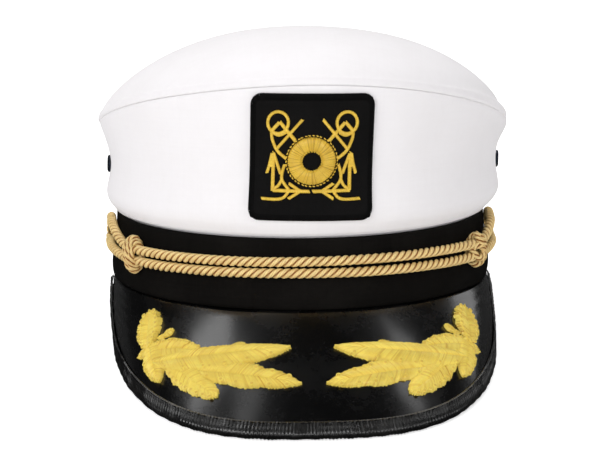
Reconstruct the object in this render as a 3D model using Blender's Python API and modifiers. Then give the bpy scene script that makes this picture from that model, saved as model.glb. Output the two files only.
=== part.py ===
"""A peaked captain cap, lying on the floor as it rests by itself.

White cloth crown (wall and domed top) tucked into a black band, a glossy peak with a bound edge,
a doubled gold cord with two knots held by side buttons, a badge patch with a raised ring,
two embroidered leaf sprays on the peak, and a vent eyelet in each side of the crown.

Metres, +Z up, peak towards -Y. The pieces are modelled level, with the band's lower rim at z = 0.
Their parent empty then leans the cap back until the peak's bound edge and the back of the band
rest on the floor, and puts the origin at the bottom centre of its bounding box.
Angles go round the cap in degrees: 0 at the front, +90 at +X, 180 at the back.
"""

import bisect
import math

import bmesh
import bpy
from mathutils import Matrix, Vector

# Sizes, in metres
GAP = 0.0003  # air between neighbouring pieces
COLUMNS = 56  # steps round the whole cap

BAND_HALF_WIDTH = 0.0870  # outer half axes of the lower rim
BAND_HALF_LENGTH = 0.1010
BAND_HEIGHT = 0.0308
BAND_DRAW_IN = 0.0018  # the upper rim is smaller by this, all round
BAND_ROLL = 0.0008  # soft roll above the lower rim
BAND_ROLL_HEIGHT = 0.0070
BAND_WALL = 0.0020
HEEL_FLAT = 0.00035  # depth to which the band is pressed flat where it rests

CROWN_CLOTH = 0.0015
TUCK_DEPTH = 0.0045  # crown cloth hidden inside the band
SEAM_OVERHANG_SIDE = 0.0064  # of the seam between crown wall and crown top, beyond the band
SEAM_OVERHANG_END = 0.0060
SEAM_HALF_WIDTH = BAND_HALF_WIDTH + SEAM_OVERHANG_SIDE
SEAM_HALF_LENGTH = BAND_HALF_LENGTH + SEAM_OVERHANG_END
SEAM_FRONT_HEIGHT = 0.0960
SEAM_SIDE_HEIGHT = 0.0712
SEAM_BACK_HEIGHT = 0.0600
SEAM_ALLOWANCE = 0.0050  # cloth turned inwards at the seam
BULGE_HEIGHT = 0.0090  # above the band, where the wall bulges most
BULGE_FRONT = 0.0024
BULGE_SOFT = 0.0050  # sides and back, which have no stiffener
WAIST = 0.0030  # hollow of the soft wall between bulge and seam
DOME_RISE = 0.0382
DOME_POWER = 0.60

PEAK_THICKNESS = 0.0022
PEAK_REACH = 0.0395  # forward of the band, at the middle
PEAK_DROP = 0.0430  # below the band, at the middle
PEAK_EDGE_INSET = 0.0012  # the peak's edge is this much narrower than the band, on each side
PEAK_EDGE_HALF_WIDTH = BAND_HALF_WIDTH - PEAK_EDGE_INSET
PEAK_EDGE_POWER = 2.85  # squareness of the edge seen from above
PEAK_TIP_DROP = 0.0035
PEAK_TIP_RUN = 0.0600  # length over which each tip rises to the band
PEAK_CAMBER = 0.0012
PEAK_FLANGE = 0.0060  # turned up inside the band
BINDING_WIDTH = 0.0052
BINDING_CLOTH = 0.0009
BINDING_TIP_CLEAR = 0.0013
BINDING_TIP_SLACK = 0.0007  # the tape lies looser round the twisted tips

CORD_DIAMETER = 0.0041
CORD_POINTS = 80
CORD_BEND_WEIGHT = 0.016  # metres of run that a radian of bend counts as, when spacing points
KNOT_ANGLE = 57.0
KNOT_HEIGHT = 0.0176
KNOT_SIZE = (0.0100, 0.0138, 0.0076)  # along the cord, up the band, out from it
KNOT_STANDOFF = 0.0043
KNOT_ROUNDING = 0.0026
BUTTON_ANGLE = 86.0
BUTTON_HEIGHT = 0.0222
BUTTON_RADIUS = 0.0030  # the head lies inside the cord's loop
BUTTON_SHANK_RADIUS = 0.0019
BUTTON_SHANK = 0.0024  # from the band to the underside of the head
BUTTON_HEAD = 0.0012

PATCH_SIZE = 0.0532
PATCH_CORNER = 0.0042
PATCH_THICKNESS = 0.0016
PATCH_CENTRE_HEIGHT = 0.0658
PATCH_OFFSET = 0.0002  # sewn a little to the wearer's left
RING_RADIUS = 0.0072  # centreline of the badge ring
RING_HALF_WIDTH = 0.0029
RING_RISE = 0.0016
RING_OFFSET = -0.0013  # ring centre below the patch centre

EYELET_ANGLE = 85.5
EYELET_HEIGHT = 0.0525
EYELET_RADIUS = 0.0040
EYELET_BARREL = 0.0025
EYELET_HOLE = 0.0019
EYELET_LIFT = 0.0005

SPRAY_THREAD = 0.0011  # thickness of the embroidery on the peak
SPRAY_ANGLE = 38.0
SPRAY_SHARE = 0.40
# Leaves of the left spray: base, tip, half width and sideways bow.
# Measured across to the cap's middle and up the peak, from the spray's own origin.
SPRAY_LEAVES = (
    ((-0.0195, 0.0085), (-0.0292, 0.0250), 0.0064, 0.0000),
    ((-0.0205, 0.0118), (-0.0105, 0.0168), 0.0018, 0.0000),
    ((-0.0165, 0.0110), (-0.0225, 0.0030), 0.0018, 0.0000),
    ((-0.0210, 0.0055), (0.0102, 0.0098), 0.0050, 0.0010),
    ((-0.0195, 0.0090), (-0.0032, -0.0072), 0.0050, -0.0006),
    ((-0.0090, 0.0010), (0.0424, 0.0240), 0.0052, -0.0026),
    ((0.0140, 0.0010), (0.0540, 0.0106), 0.0056, -0.0006),
    ((-0.0070, 0.0040), (0.0272, -0.0072), 0.0054, -0.0012),
)
LEAF_STEPS = 9

# The gold cord's two strands from left to right. The cord is one closed loop, round both buttons.
# Each point is (angle in degrees, height, lift beyond lying on the band).
CORD_UPPER = (
    (-80, 0.0273, 0.0004), (-75, 0.0263, 0.0012), (-70, 0.0243, 0.0017), (-66, 0.0222, 0.0018),
    (-62, 0.0206, 0.0018), (-57, 0.0202, 0.0018), (-51, 0.0202, 0.0009), (-42, 0.0203, 0.0001),
    (-28, 0.0206, 0.0000), (-14, 0.0209, 0.0000), (0, 0.0210, 0.0000), (14, 0.0210, 0.0000),
    (28, 0.0208, 0.0000), (42, 0.0205, 0.0001), (51, 0.0203, 0.0009), (57, 0.0202, 0.0018),
    (62, 0.0206, 0.0018), (66, 0.0222, 0.0018), (70, 0.0243, 0.0017), (75, 0.0263, 0.0012),
    (80, 0.0273, 0.0004),
)
CORD_LOWER = (
    (-80, 0.0169, 0.0004), (-75, 0.0168, 0.0012), (-70, 0.0163, 0.0017), (-66, 0.0157, 0.0018),
    (-62, 0.0152, 0.0018), (-57, 0.0150, 0.0018), (-51, 0.0150, 0.0009), (-42, 0.0152, 0.0001),
    (-28, 0.0157, 0.0000), (-14, 0.0161, 0.0000), (0, 0.0163, 0.0000), (14, 0.0162, 0.0000),
    (28, 0.0160, 0.0000), (42, 0.0156, 0.0001), (51, 0.0152, 0.0009), (57, 0.0150, 0.0018),
    (62, 0.0152, 0.0018), (66, 0.0157, 0.0018), (70, 0.0163, 0.0017), (75, 0.0168, 0.0012),
    (80, 0.0169, 0.0004),
)
CORD_LOOP_RADIUS = 0.0054  # of the centreline round a side button

WHITE_CLOTH = ((0.84, 0.82, 0.83), 0.85, 0.0)
BLACK_CLOTH = ((0.012, 0.011, 0.012), 0.85, 0.0)
BLACK_PATENT = ((0.008, 0.008, 0.009), 0.12, 0.0)
GOLD_CORD = ((0.80, 0.52, 0.20), 0.40, 0.1)
GOLD_THREAD = ((0.86, 0.60, 0.08), 0.45, 0.1)
GOLD_BUTTON = ((0.72, 0.50, 0.18), 0.30, 0.9)
DARK_METAL = ((0.05, 0.06, 0.08), 0.35, 0.9)


# ---- Scene and object helpers ----


def clear_scene():
    for obj in list(bpy.data.objects):
        bpy.data.objects.remove(obj, do_unlink=True)


def collection(name):
    made = bpy.data.collections.new(name)
    bpy.context.scene.collection.children.link(made)
    return made


def material(name, look):
    colour, roughness, metallic = look
    made = bpy.data.materials.get(name) or bpy.data.materials.new(name)
    made.use_nodes = True
    shader = made.node_tree.nodes["Principled BSDF"]
    shader.inputs["Base Color"].default_value = (*colour, 1.0)
    shader.inputs["Roughness"].default_value = roughness
    shader.inputs["Metallic"].default_value = metallic
    return made


def add_object(name, data, home, parent, finish=None):
    obj = bpy.data.objects.new(name, data)
    home.objects.link(obj)
    obj.parent = parent
    if finish:
        data.materials.append(finish)
    return obj


def sheet(name, rows, home, parent, finish, closed=True, pole=None):
    """An open surface through rows of points. Rows run so that the surface faces away from the head."""
    bm = bmesh.new()
    grid = [[bm.verts.new(p) for p in row] for row in rows]
    count = len(rows[0])
    spans = range(count if closed else count - 1)
    for low, high in zip(grid, grid[1:]):
        for i in spans:
            j = (i + 1) % count
            bm.faces.new((low[i], low[j], high[j], high[i]))
    if pole is not None:
        top = bm.verts.new(pole)
        for i in spans:
            bm.faces.new((grid[-1][i], grid[-1][(i + 1) % count], top))
    mesh = bpy.data.meshes.new(name)
    bm.to_mesh(mesh)
    bm.free()
    mesh.shade_smooth()
    mesh.set_sharp_from_angle(angle=math.radians(40))
    return add_object(name, mesh, home, parent, finish)


def thicken(obj, thickness, outwards=False):
    wall = obj.modifiers.new("wall", "SOLIDIFY")
    wall.thickness = thickness
    wall.offset = 1.0 if outwards else -1.0
    wall.use_even_offset = True
    return wall


def turned(name, profile, steps, home, parent, finish, closed_profile=False):
    """A turned piece about its own Z. The profile is (radius, height) points down its outer side."""
    bm = bmesh.new()
    verts = [bm.verts.new((radius, 0.0, height)) for radius, height in profile]
    pairs = list(zip(verts, verts[1:])) + ([(verts[-1], verts[0])] if closed_profile else [])
    for a, b in pairs:
        bm.edges.new((a, b))
    mesh = bpy.data.meshes.new(name)
    bm.to_mesh(mesh)
    bm.free()
    obj = add_object(name, mesh, home, parent, finish)
    screw = obj.modifiers.new("turn", "SCREW")
    screw.steps = screw.render_steps = steps
    screw.use_merge_vertices = True
    screw.merge_threshold = 0.00001
    return obj


def boolean(obj, cutter, operation="DIFFERENCE"):
    cut = obj.modifiers.new(operation.lower() + "_" + cutter.name, "BOOLEAN")
    cut.operation = operation
    cut.object = cutter
    return cut


def hide_helper(obj):
    obj.hide_render = True
    obj.display_type = "WIRE"


def stand_on(point, outward, upward=Vector((0, 0, 1))):
    """A matrix at a point with Z along the outward normal and Y as near upward as it goes."""
    z = outward.normalized()
    x = upward.cross(z).normalized()
    return Matrix.Translation(point) @ Matrix((x, z.cross(x), z)).transposed().to_4x4()


# ---- Surfaces of the cap ----


def oval(half_width, half_length, angle, height):
    turn = math.radians(angle)
    return Vector((half_width * math.sin(turn), -half_length * math.cos(turn), height))


def surface_normal(surface, angle, height, step=0.4):
    """Outward normal of surface(angle, height), from points close by."""
    along = surface(angle + step, height) - surface(angle - step, height)
    rise = surface(angle, height + step / 1000) - surface(angle, height - step / 1000)
    return along.cross(rise).normalized()


def ring_of_angles(count=COLUMNS):
    return [360.0 * i / count for i in range(count)]


def band_swell(height):
    """How far the band's outer side stands out from its lower rim."""
    share = height / BAND_HEIGHT
    roll = BAND_ROLL * math.exp(-(((height - BAND_ROLL_HEIGHT) / BAND_ROLL_HEIGHT) ** 2))
    return roll - BAND_DRAW_IN * share - BAND_ROLL * math.exp(-1.0)


def band_surface(angle, height):
    swell = band_swell(height)
    return oval(BAND_HALF_WIDTH + swell, BAND_HALF_LENGTH + swell, angle, height)


def softness(angle):
    """0 at the stiffened front of the crown, 1 from the sides to the back."""
    return 1.0 - max(0.0, math.cos(math.radians(angle))) ** 2


def seam_height(angle, share=1.0):
    """Height of the seam, or of the surface stretched across it at a share of the way out."""
    turn = math.radians(angle)
    ends = (SEAM_FRONT_HEIGHT + SEAM_BACK_HEIGHT) / 4
    middle = ends + SEAM_SIDE_HEIGHT / 2
    lean = (SEAM_FRONT_HEIGHT - SEAM_BACK_HEIGHT) / 2
    saddle = ends - SEAM_SIDE_HEIGHT / 2
    return middle + share * lean * math.cos(turn) + share**2 * saddle * math.cos(2 * turn)


def crown_surface(angle, height):
    """Outer side of the crown wall, between the band's upper rim and the seam."""
    foot = BAND_HEIGHT + GAP
    share = (height - foot) / (seam_height(angle) - foot)
    soft = softness(angle)
    rise = max(0.0, height - foot) / BULGE_HEIGHT
    bulge = (BULGE_FRONT + (BULGE_SOFT - BULGE_FRONT) * soft) * (rise * math.exp(1.0 - rise)) ** 2
    swell = bulge - WAIST * soft * math.sin(math.pi * min(1.0, max(0.0, share)))
    rim_width = BAND_HALF_WIDTH - BAND_DRAW_IN
    rim_length = BAND_HALF_LENGTH - BAND_DRAW_IN
    half_width = rim_width + (SEAM_HALF_WIDTH - rim_width) * share + swell
    half_length = rim_length + (SEAM_HALF_LENGTH - rim_length) * share + swell
    return oval(half_width, half_length, angle, height)


def dome_surface(angle, share):
    """Outer side of the crown top, at a share of the way out from its middle."""
    height = seam_height(angle, share) + DOME_RISE * (1.0 - share**2) ** DOME_POWER
    return oval(SEAM_HALF_WIDTH * share, SEAM_HALF_LENGTH * share, angle, height)


def peak_root(angle):
    """Where the peak's upper side leaves the band."""
    inset = 0.0005
    return oval(BAND_HALF_WIDTH - inset, BAND_HALF_LENGTH - inset, angle, -GAP)


def peak_edge(angle):
    """Outer edge of the peak's upper side: level with the floor in front, rising at the tips."""
    turn = math.radians(angle)
    power = 2.0 / PEAK_EDGE_POWER
    x = PEAK_EDGE_HALF_WIDTH * math.copysign(abs(math.sin(turn)) ** power, angle)
    y = -(BAND_HALF_LENGTH + PEAK_REACH) * max(0.0, math.cos(turn)) ** power
    slope = PEAK_DROP / (2 * BAND_HALF_LENGTH + PEAK_REACH)
    lift = BAND_HALF_LENGTH * slope - PEAK_TIP_DROP
    rise = max(0.0, 1.0 + y / PEAK_TIP_RUN) ** 2
    return Vector((x, y, -(BAND_HALF_LENGTH - y) * slope + lift * rise))


def peak_normal(angle, share):
    step = 0.5
    low, high = max(-90.0, angle - step), min(90.0, angle + step)
    along = peak_edge(high).lerp(peak_root(high), share) - peak_edge(low).lerp(peak_root(low), share)
    return along.cross(peak_root(angle) - peak_edge(angle)).normalized()


def peak_surface(angle, share):
    """Upper side of the peak, at a share of the way from its edge to its root."""
    point = peak_edge(angle).lerp(peak_root(angle), share)
    return point + peak_normal(angle, share) * PEAK_CAMBER * math.sin(math.pi * share)


# ---- Pieces ----


def make_band(home, parent):
    heights = (0.0, BAND_ROLL_HEIGHT, BAND_HEIGHT / 2, BAND_HEIGHT)
    rows = [[band_surface(a, h) for a in ring_of_angles()] for h in heights]
    obj = sheet("band", rows, home, parent, material("black_cloth", BLACK_CLOTH))
    thicken(obj, BAND_WALL)
    return obj


def make_crown_wall(home, parent, cutters):
    tuck_inset = BAND_WALL + GAP - band_swell(BAND_HEIGHT)
    tuck = (BAND_HALF_WIDTH - tuck_inset, BAND_HALF_LENGTH - tuck_inset)
    lip = (BAND_HALF_WIDTH - BAND_DRAW_IN, BAND_HALF_LENGTH - BAND_DRAW_IN)
    foot = BAND_HEIGHT + GAP
    angles = ring_of_angles()
    rows = [[oval(*tuck, a, BAND_HEIGHT - TUCK_DEPTH) for a in angles]]
    rows.append([oval(*tuck, a, foot) for a in angles])
    rows.append([oval(*lip, a, foot + GAP) for a in angles])
    low_heights = (0.0022, 0.0055, 0.0095, 0.0140)
    rows += [[crown_surface(a, foot + h) for a in angles] for h in low_heights]
    start = low_heights[-1] + foot
    for share in (0.25, 0.50, 0.75, 1.0):
        tops = [seam_height(a) - GAP / 2 for a in angles]
        rows.append([crown_surface(a, start + (top - start) * share) for a, top in zip(angles, tops)])
    seam_in = (SEAM_HALF_WIDTH - SEAM_ALLOWANCE, SEAM_HALF_LENGTH - SEAM_ALLOWANCE)
    rows.append([oval(*seam_in, a, seam_height(a) - GAP / 2) for a in angles])
    obj = sheet("crown_wall", rows, home, parent, material("white_cloth", WHITE_CLOTH))
    thicken(obj, CROWN_CLOTH)
    for cutter in cutters:
        boolean(obj, cutter)
    return obj


def make_crown_top(home, parent):
    angles = ring_of_angles()
    seam_in = (SEAM_HALF_WIDTH - SEAM_ALLOWANCE, SEAM_HALF_LENGTH - SEAM_ALLOWANCE)
    rows = [[oval(*seam_in, a, seam_height(a) + GAP / 2) for a in angles]]
    rows.append([oval(SEAM_HALF_WIDTH, SEAM_HALF_LENGTH, a, seam_height(a) + GAP / 2) for a in angles])
    steps = 9
    for k in range(1, steps):
        share = math.cos(math.radians(90.0 * k / steps))
        rows.append([dome_surface(a, share) + Vector((0, 0, GAP / 2)) for a in angles])
    pole = dome_surface(0.0, 0.0) + Vector((0, 0, GAP / 2))
    obj = sheet("crown_top", rows, home, parent, material("white_cloth", WHITE_CLOTH), pole=pole)
    thicken(obj, CROWN_CLOTH)
    return obj


def peak_angles():
    count = 3 * COLUMNS // 4
    return [-90.0 + 180.0 * i / count for i in range(count + 1)]


def make_peak(home, parent):
    angles = peak_angles()
    rows = [[peak_surface(a, share) for a in angles] for share in (0.0, 0.1, 0.3, 0.65, 1.0)]
    inset = BAND_WALL + GAP
    inner = (BAND_HALF_WIDTH - inset, BAND_HALF_LENGTH - inset)
    rows.append([oval(*inner, a, -GAP) for a in angles])
    upper_inset = inset + BAND_DRAW_IN * PEAK_FLANGE / BAND_HEIGHT
    upper = (BAND_HALF_WIDTH - upper_inset, BAND_HALF_LENGTH - upper_inset)
    rows.append([oval(*upper, a, PEAK_FLANGE) for a in angles])
    obj = sheet("peak", rows, home, parent, material("black_patent", BLACK_PATENT), closed=False)
    thicken(obj, PEAK_THICKNESS)
    return obj


def binding_rows():
    """The tape's inner side, folded round the peak's edge from the underside to the upper side."""
    middle = -PEAK_THICKNESS / 2
    rows = [[] for _ in range(8)]
    for angle in peak_angles()[1:-1]:
        slack = GAP + BINDING_TIP_SLACK * abs(math.sin(math.radians(angle))) ** 12
        under = -PEAK_THICKNESS - slack
        nose = PEAK_THICKNESS / 2 + slack
        ruling = (peak_root(angle) - peak_edge(angle)).length
        reach = min(BINDING_WIDTH, ruling - BINDING_TIP_CLEAR) / ruling
        inward = (peak_root(angle) - peak_edge(angle)).normalized()
        section = [(reach, under), (reach / 2, under), (0.0, under)]
        section += [(0.0, middle - nose * 0.6), (0.0, middle + nose * 0.6)]
        section += [(0.0, slack), (reach / 2, slack), (reach, slack)]
        for k, (share, out) in enumerate(section):
            forward = nose * 0.55 if k in (3, 4) else 0.0
            place = peak_surface(angle, share) + peak_normal(angle, share) * out
            rows[k].append(place - inward * forward)
    return rows


def make_binding(home, parent):
    obj = sheet(
        "peak_binding", binding_rows(), home, parent, material("black_patent", BLACK_PATENT), closed=False
    )
    thicken(obj, BINDING_CLOTH, outwards=True)
    return obj


def smooth_loop(points, steps):
    """A closed Catmull-Rom curve through the points, with the given steps from one to the next."""
    made = []
    for k in range(len(points)):
        a, b, c, d = (points[(k + j - 1) % len(points)] for j in range(4))
        for i in range(steps):
            t = i / steps
            bend = (2 * a - 5 * b + 4 * c - d) * t**2 + (3 * b - a - 3 * c + d) * t**3
            made.append(0.5 * (2 * b + (c - a) * t + bend))
    return made


def spaced_loop(fine, count, bend_weight):
    """Points picked along a fine closed curve, closer together where it bends."""
    reach = [0.0]
    for k, here in enumerate(fine):
        after = fine[(k + 1) % len(fine)] - here
        bend = after.angle(here - fine[k - 1])
        reach.append(reach[-1] + after.length + bend_weight * bend)
    wanted = [reach[-1] * i / count for i in range(count)]
    return [fine[max(0, bisect.bisect_left(reach, where) - 1)] for where in wanted]


def beside_band(angle, height, lift):
    distance = CORD_DIAMETER / 2 + 1.6 * GAP + lift
    return band_surface(angle, height) + surface_normal(band_surface, angle, height) * distance


def button_turn():
    """Route points round the right-hand button, from above it to below it."""
    points = []
    for turn in (90, 45, 0, -45, -90):
        along = CORD_LOOP_RADIUS * math.cos(math.radians(turn))
        angle = BUTTON_ANGLE + math.degrees(along / BAND_HALF_LENGTH)
        points.append((angle, BUTTON_HEIGHT + CORD_LOOP_RADIUS * math.sin(math.radians(turn)), 0.0))
    return points


def cord_route():
    right_turn = button_turn()
    left_turn = [(-angle, height, lift) for angle, height, lift in reversed(right_turn)]
    route = [*CORD_UPPER, *right_turn, *reversed(CORD_LOWER), *left_turn]
    fine = smooth_loop([beside_band(*point) for point in route], 24)
    return spaced_loop(fine, CORD_POINTS, CORD_BEND_WEIGHT)


def cord_curve(name, radius, home, parent, finish):
    data = bpy.data.curves.new(name, "CURVE")
    data.dimensions = "3D"
    data.bevel_depth = radius
    data.bevel_resolution = 2
    spline = data.splines.new("POLY")
    route = cord_route()
    spline.points.add(len(route) - 1)
    for point, place in zip(spline.points, route):
        point.co = (*place, 1.0)
    spline.use_cyclic_u = True
    return add_object(name, data, home, parent, finish)


def curve_as_mesh(curve, home):
    """The curve's tube as a mesh, which a Boolean can use."""
    graph = bpy.context.evaluated_depsgraph_get()
    mesh = bpy.data.meshes.new_from_object(curve.evaluated_get(graph))
    bm = bmesh.new()
    bm.from_mesh(mesh)
    bmesh.ops.remove_doubles(bm, verts=bm.verts, dist=0.00001)
    bm.to_mesh(mesh)
    bm.free()
    made = add_object(curve.name + "_mesh", mesh, home, curve.parent)
    bpy.data.objects.remove(curve, do_unlink=True)
    return made


def make_knot(name, side, bores, home, parent):
    bm = bmesh.new()
    bmesh.ops.create_cube(bm, size=1.0)
    bmesh.ops.scale(bm, vec=KNOT_SIZE, verts=bm.verts)
    mesh = bpy.data.meshes.new(name)
    bm.to_mesh(mesh)
    bm.free()
    mesh.shade_smooth()
    obj = add_object(name, mesh, home, parent, material("gold_cord", GOLD_CORD))
    angle = side * KNOT_ANGLE
    normal = surface_normal(band_surface, angle, KNOT_HEIGHT)
    obj.matrix_local = stand_on(band_surface(angle, KNOT_HEIGHT) + normal * KNOT_STANDOFF, normal)
    rounding = obj.modifiers.new("rounding", "BEVEL")
    rounding.width = KNOT_ROUNDING
    rounding.segments = 3
    boolean(obj, bores)
    return obj


def make_button(name, side, home, parent):
    shank = BUTTON_SHANK
    top = shank + BUTTON_HEAD
    profile = (
        (0.0, top), (BUTTON_RADIUS * 0.6, top - 0.1 * BUTTON_HEAD), (BUTTON_RADIUS * 0.92, top - 0.5 * BUTTON_HEAD),
        (BUTTON_RADIUS, shank + 0.2 * BUTTON_HEAD), (BUTTON_RADIUS * 0.95, shank),
        (BUTTON_SHANK_RADIUS, shank), (BUTTON_SHANK_RADIUS, 0.0), (0.0, 0.0),
    )
    obj = turned(name, profile, 20, home, parent, material("gold_button", GOLD_BUTTON))
    angle = side * BUTTON_ANGLE
    normal = surface_normal(band_surface, angle, BUTTON_HEIGHT)
    obj.matrix_local = stand_on(band_surface(angle, BUTTON_HEIGHT) + normal * GAP, normal)
    return obj


def eyelet_place(side):
    angle = side * EYELET_ANGLE
    normal = surface_normal(crown_surface, angle, EYELET_HEIGHT)
    return stand_on(crown_surface(angle, EYELET_HEIGHT), normal)


def make_eyelet(name, side, home, parent):
    depth = CROWN_CLOTH + 2 * GAP
    crest = EYELET_LIFT + 0.0009
    profile = (
        ((EYELET_BARREL + EYELET_RADIUS) / 2, crest), (EYELET_RADIUS * 0.94, crest * 0.82),
        (EYELET_RADIUS, EYELET_LIFT + GAP), (EYELET_RADIUS * 0.95, EYELET_LIFT),
        (EYELET_BARREL, EYELET_LIFT), (EYELET_BARREL, -depth), (EYELET_HOLE, -depth),
        (EYELET_HOLE, crest * 0.8),
    )
    finish = material("dark_metal", DARK_METAL)
    obj = turned(name, profile, 20, home, parent, finish, closed_profile=True)
    obj.matrix_local = eyelet_place(side)
    return obj


def eyelet_cutter(name, side, home, parent):
    bm = bmesh.new()
    radius = EYELET_BARREL + GAP
    bmesh.ops.create_cone(
        bm, cap_ends=True, segments=20, radius1=radius, radius2=radius, depth=6 * CROWN_CLOTH
    )
    mesh = bpy.data.meshes.new(name)
    bm.to_mesh(mesh)
    bm.free()
    obj = add_object(name, mesh, home, parent)
    obj.matrix_local = eyelet_place(side)
    hide_helper(obj)
    return obj


def on_crown_front(across, up, out):
    """A point out from the crown's front, at a place measured across and up from the patch centre."""
    height = PATCH_CENTRE_HEIGHT + up
    angle = math.degrees((PATCH_OFFSET + across) / SEAM_HALF_WIDTH)
    return crown_surface(angle, height) + surface_normal(crown_surface, angle, height) * out


def make_patch(home, parent):
    bm = bmesh.new()
    cells = 10
    bmesh.ops.create_grid(bm, x_segments=cells, y_segments=cells, size=PATCH_SIZE / 2)
    corners = [v for v in bm.verts if len(v.link_edges) == 2]
    bmesh.ops.bevel(bm, geom=corners, affect="VERTICES", offset=PATCH_CORNER, segments=4, profile=0.5)
    for vert in bm.verts:
        vert.co = on_crown_front(vert.co.x, vert.co.y, GAP)
    mesh = bpy.data.meshes.new("badge_patch")
    bm.to_mesh(mesh)
    bm.free()
    obj = add_object("badge_patch", mesh, home, parent, material("black_cloth", BLACK_CLOTH))
    thicken(obj, PATCH_THICKNESS, outwards=True)
    return obj


def make_badge_ring(home, parent):
    around, section = 24, 8
    lift = 2 * GAP + PATCH_THICKNESS
    bm = bmesh.new()
    grid = []
    for i in range(around):
        turn = 2 * math.pi * i / around
        ring = []
        for j in range(section):
            tilt = 2 * math.pi * j / section
            radius = RING_RADIUS + RING_HALF_WIDTH * math.cos(tilt)
            out = lift + RING_RISE * max(0.0, math.sin(tilt))
            place = on_crown_front(radius * math.cos(turn), RING_OFFSET + radius * math.sin(turn), out)
            ring.append(bm.verts.new(place))
        grid.append(ring)
    for i in range(around):
        for j in range(section):
            a, b = grid[i], grid[(i + 1) % around]
            k = (j + 1) % section
            bm.faces.new((a[j], b[j], b[k], a[k]))
    mesh = bpy.data.meshes.new("badge_ring")
    bm.to_mesh(mesh)
    bm.free()
    mesh.shade_smooth()
    return add_object("badge_ring", mesh, home, parent, material("gold_thread", GOLD_THREAD))


def leaf_outline(base, tip, half_width, bow):
    """A leaf's outline, from its base along one side to the tip and back along the other."""
    base, tip = Vector(base), Vector(tip)
    across = Vector((base.y - tip.y, tip.x - base.x)).normalized()
    sides = ([], [])
    for i in range(LEAF_STEPS + 1):
        t = (i + 0.15) / (LEAF_STEPS + 0.3)
        middle = base.lerp(tip, t) + across * bow * 4 * t * (1 - t)
        width = half_width * math.sin(math.pi * t**0.85) ** 0.7
        sides[0].append(middle + across * width)
        sides[1].append(middle - across * width)
    return sides[0] + sides[1][::-1]


def make_leaf_cutter(name, outline, side, place, home, parent):
    """An upright prism of one leaf's outline, tall enough to pass through the curved peak."""
    height, depth = 0.010, 0.030
    bm = bmesh.new()
    top = [bm.verts.new((-side * p.x, p.y, height)) for p in outline]
    base = [bm.verts.new((-side * p.x, p.y, -depth)) for p in outline]
    bm.faces.new(top)
    bm.faces.new(base[::-1])
    for i in range(len(top)):
        j = (i + 1) % len(top)
        bm.faces.new((base[i], base[j], top[j], top[i]))
    bmesh.ops.recalc_face_normals(bm, faces=bm.faces)
    mesh = bpy.data.meshes.new(name)
    bm.to_mesh(mesh)
    bm.free()
    obj = add_object(name, mesh, home, parent)
    obj.matrix_local = place
    hide_helper(obj)
    return obj


def make_spray(name, side, home, cutters, parent):
    """The part of a thin plate on the peak that lies within the leaves' outlines."""
    angles = [a for a in peak_angles() if -1.0 < side * a < 84.0]
    rows = []
    for share in (0.0, 0.1, 0.3, 0.65, 0.97):
        rows.append([peak_surface(a, share) + peak_normal(a, share) * GAP for a in angles])
    obj = sheet(name, rows, home, parent, material("gold_thread", GOLD_THREAD), closed=False)
    thicken(obj, SPRAY_THREAD, outwards=True)
    angle = side * SPRAY_ANGLE
    place = stand_on(peak_surface(angle, SPRAY_SHARE), peak_normal(angle, SPRAY_SHARE))
    leaves = []
    for k, leaf in enumerate(SPRAY_LEAVES):
        outline = leaf_outline(*leaf)
        leaves.append(make_leaf_cutter(f"{name}_leaf_{k}", outline, side, place, cutters, parent))
    for leaf in leaves[1:]:
        boolean(leaves[0], leaf, "UNION")
    boolean(obj, leaves[0], "INTERSECT")
    return obj


# ---- Lean and set down ----


def world_points(objects):
    bpy.context.view_layer.update()
    graph = bpy.context.evaluated_depsgraph_get()
    points = []
    for obj in objects:
        shape = obj.evaluated_get(graph)
        mesh = shape.to_mesh()
        points += [shape.matrix_world @ vert.co for vert in mesh.vertices]
        shape.to_mesh_clear()
    return points


def add_floor_block(lean, heel, home, parent):
    """A block whose top is the floor under the leaning cap. It presses the band flat at the back."""
    size = 0.05
    bm = bmesh.new()
    bmesh.ops.create_cube(bm, size=size)
    bmesh.ops.translate(bm, vec=(0.0, 0.0, -size / 2), verts=bm.verts)
    mesh = bpy.data.meshes.new("floor_block")
    bm.to_mesh(mesh)
    bm.free()
    obj = add_object("floor_block", mesh, home, parent)
    obj.location = heel
    obj.rotation_euler.x = lean
    hide_helper(obj)
    return obj


def rest_on_floor(pieces, band, binding, cutters, holder):
    heel = Vector((0.0, BAND_HALF_LENGTH, HEEL_FLAT))
    lean = max(math.atan2(heel.z - p.z, heel.y - p.y) for p in world_points([binding]))
    boolean(band, add_floor_block(lean, heel, cutters, holder))
    holder.rotation_euler.x = -lean
    points = world_points(pieces)
    low = Vector([min(p[k] for p in points) for k in range(3)])
    high = Vector([max(p[k] for p in points) for k in range(3)])
    holder.location = (-(low.x + high.x) / 2, -(low.y + high.y) / 2, -low.z)


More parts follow.
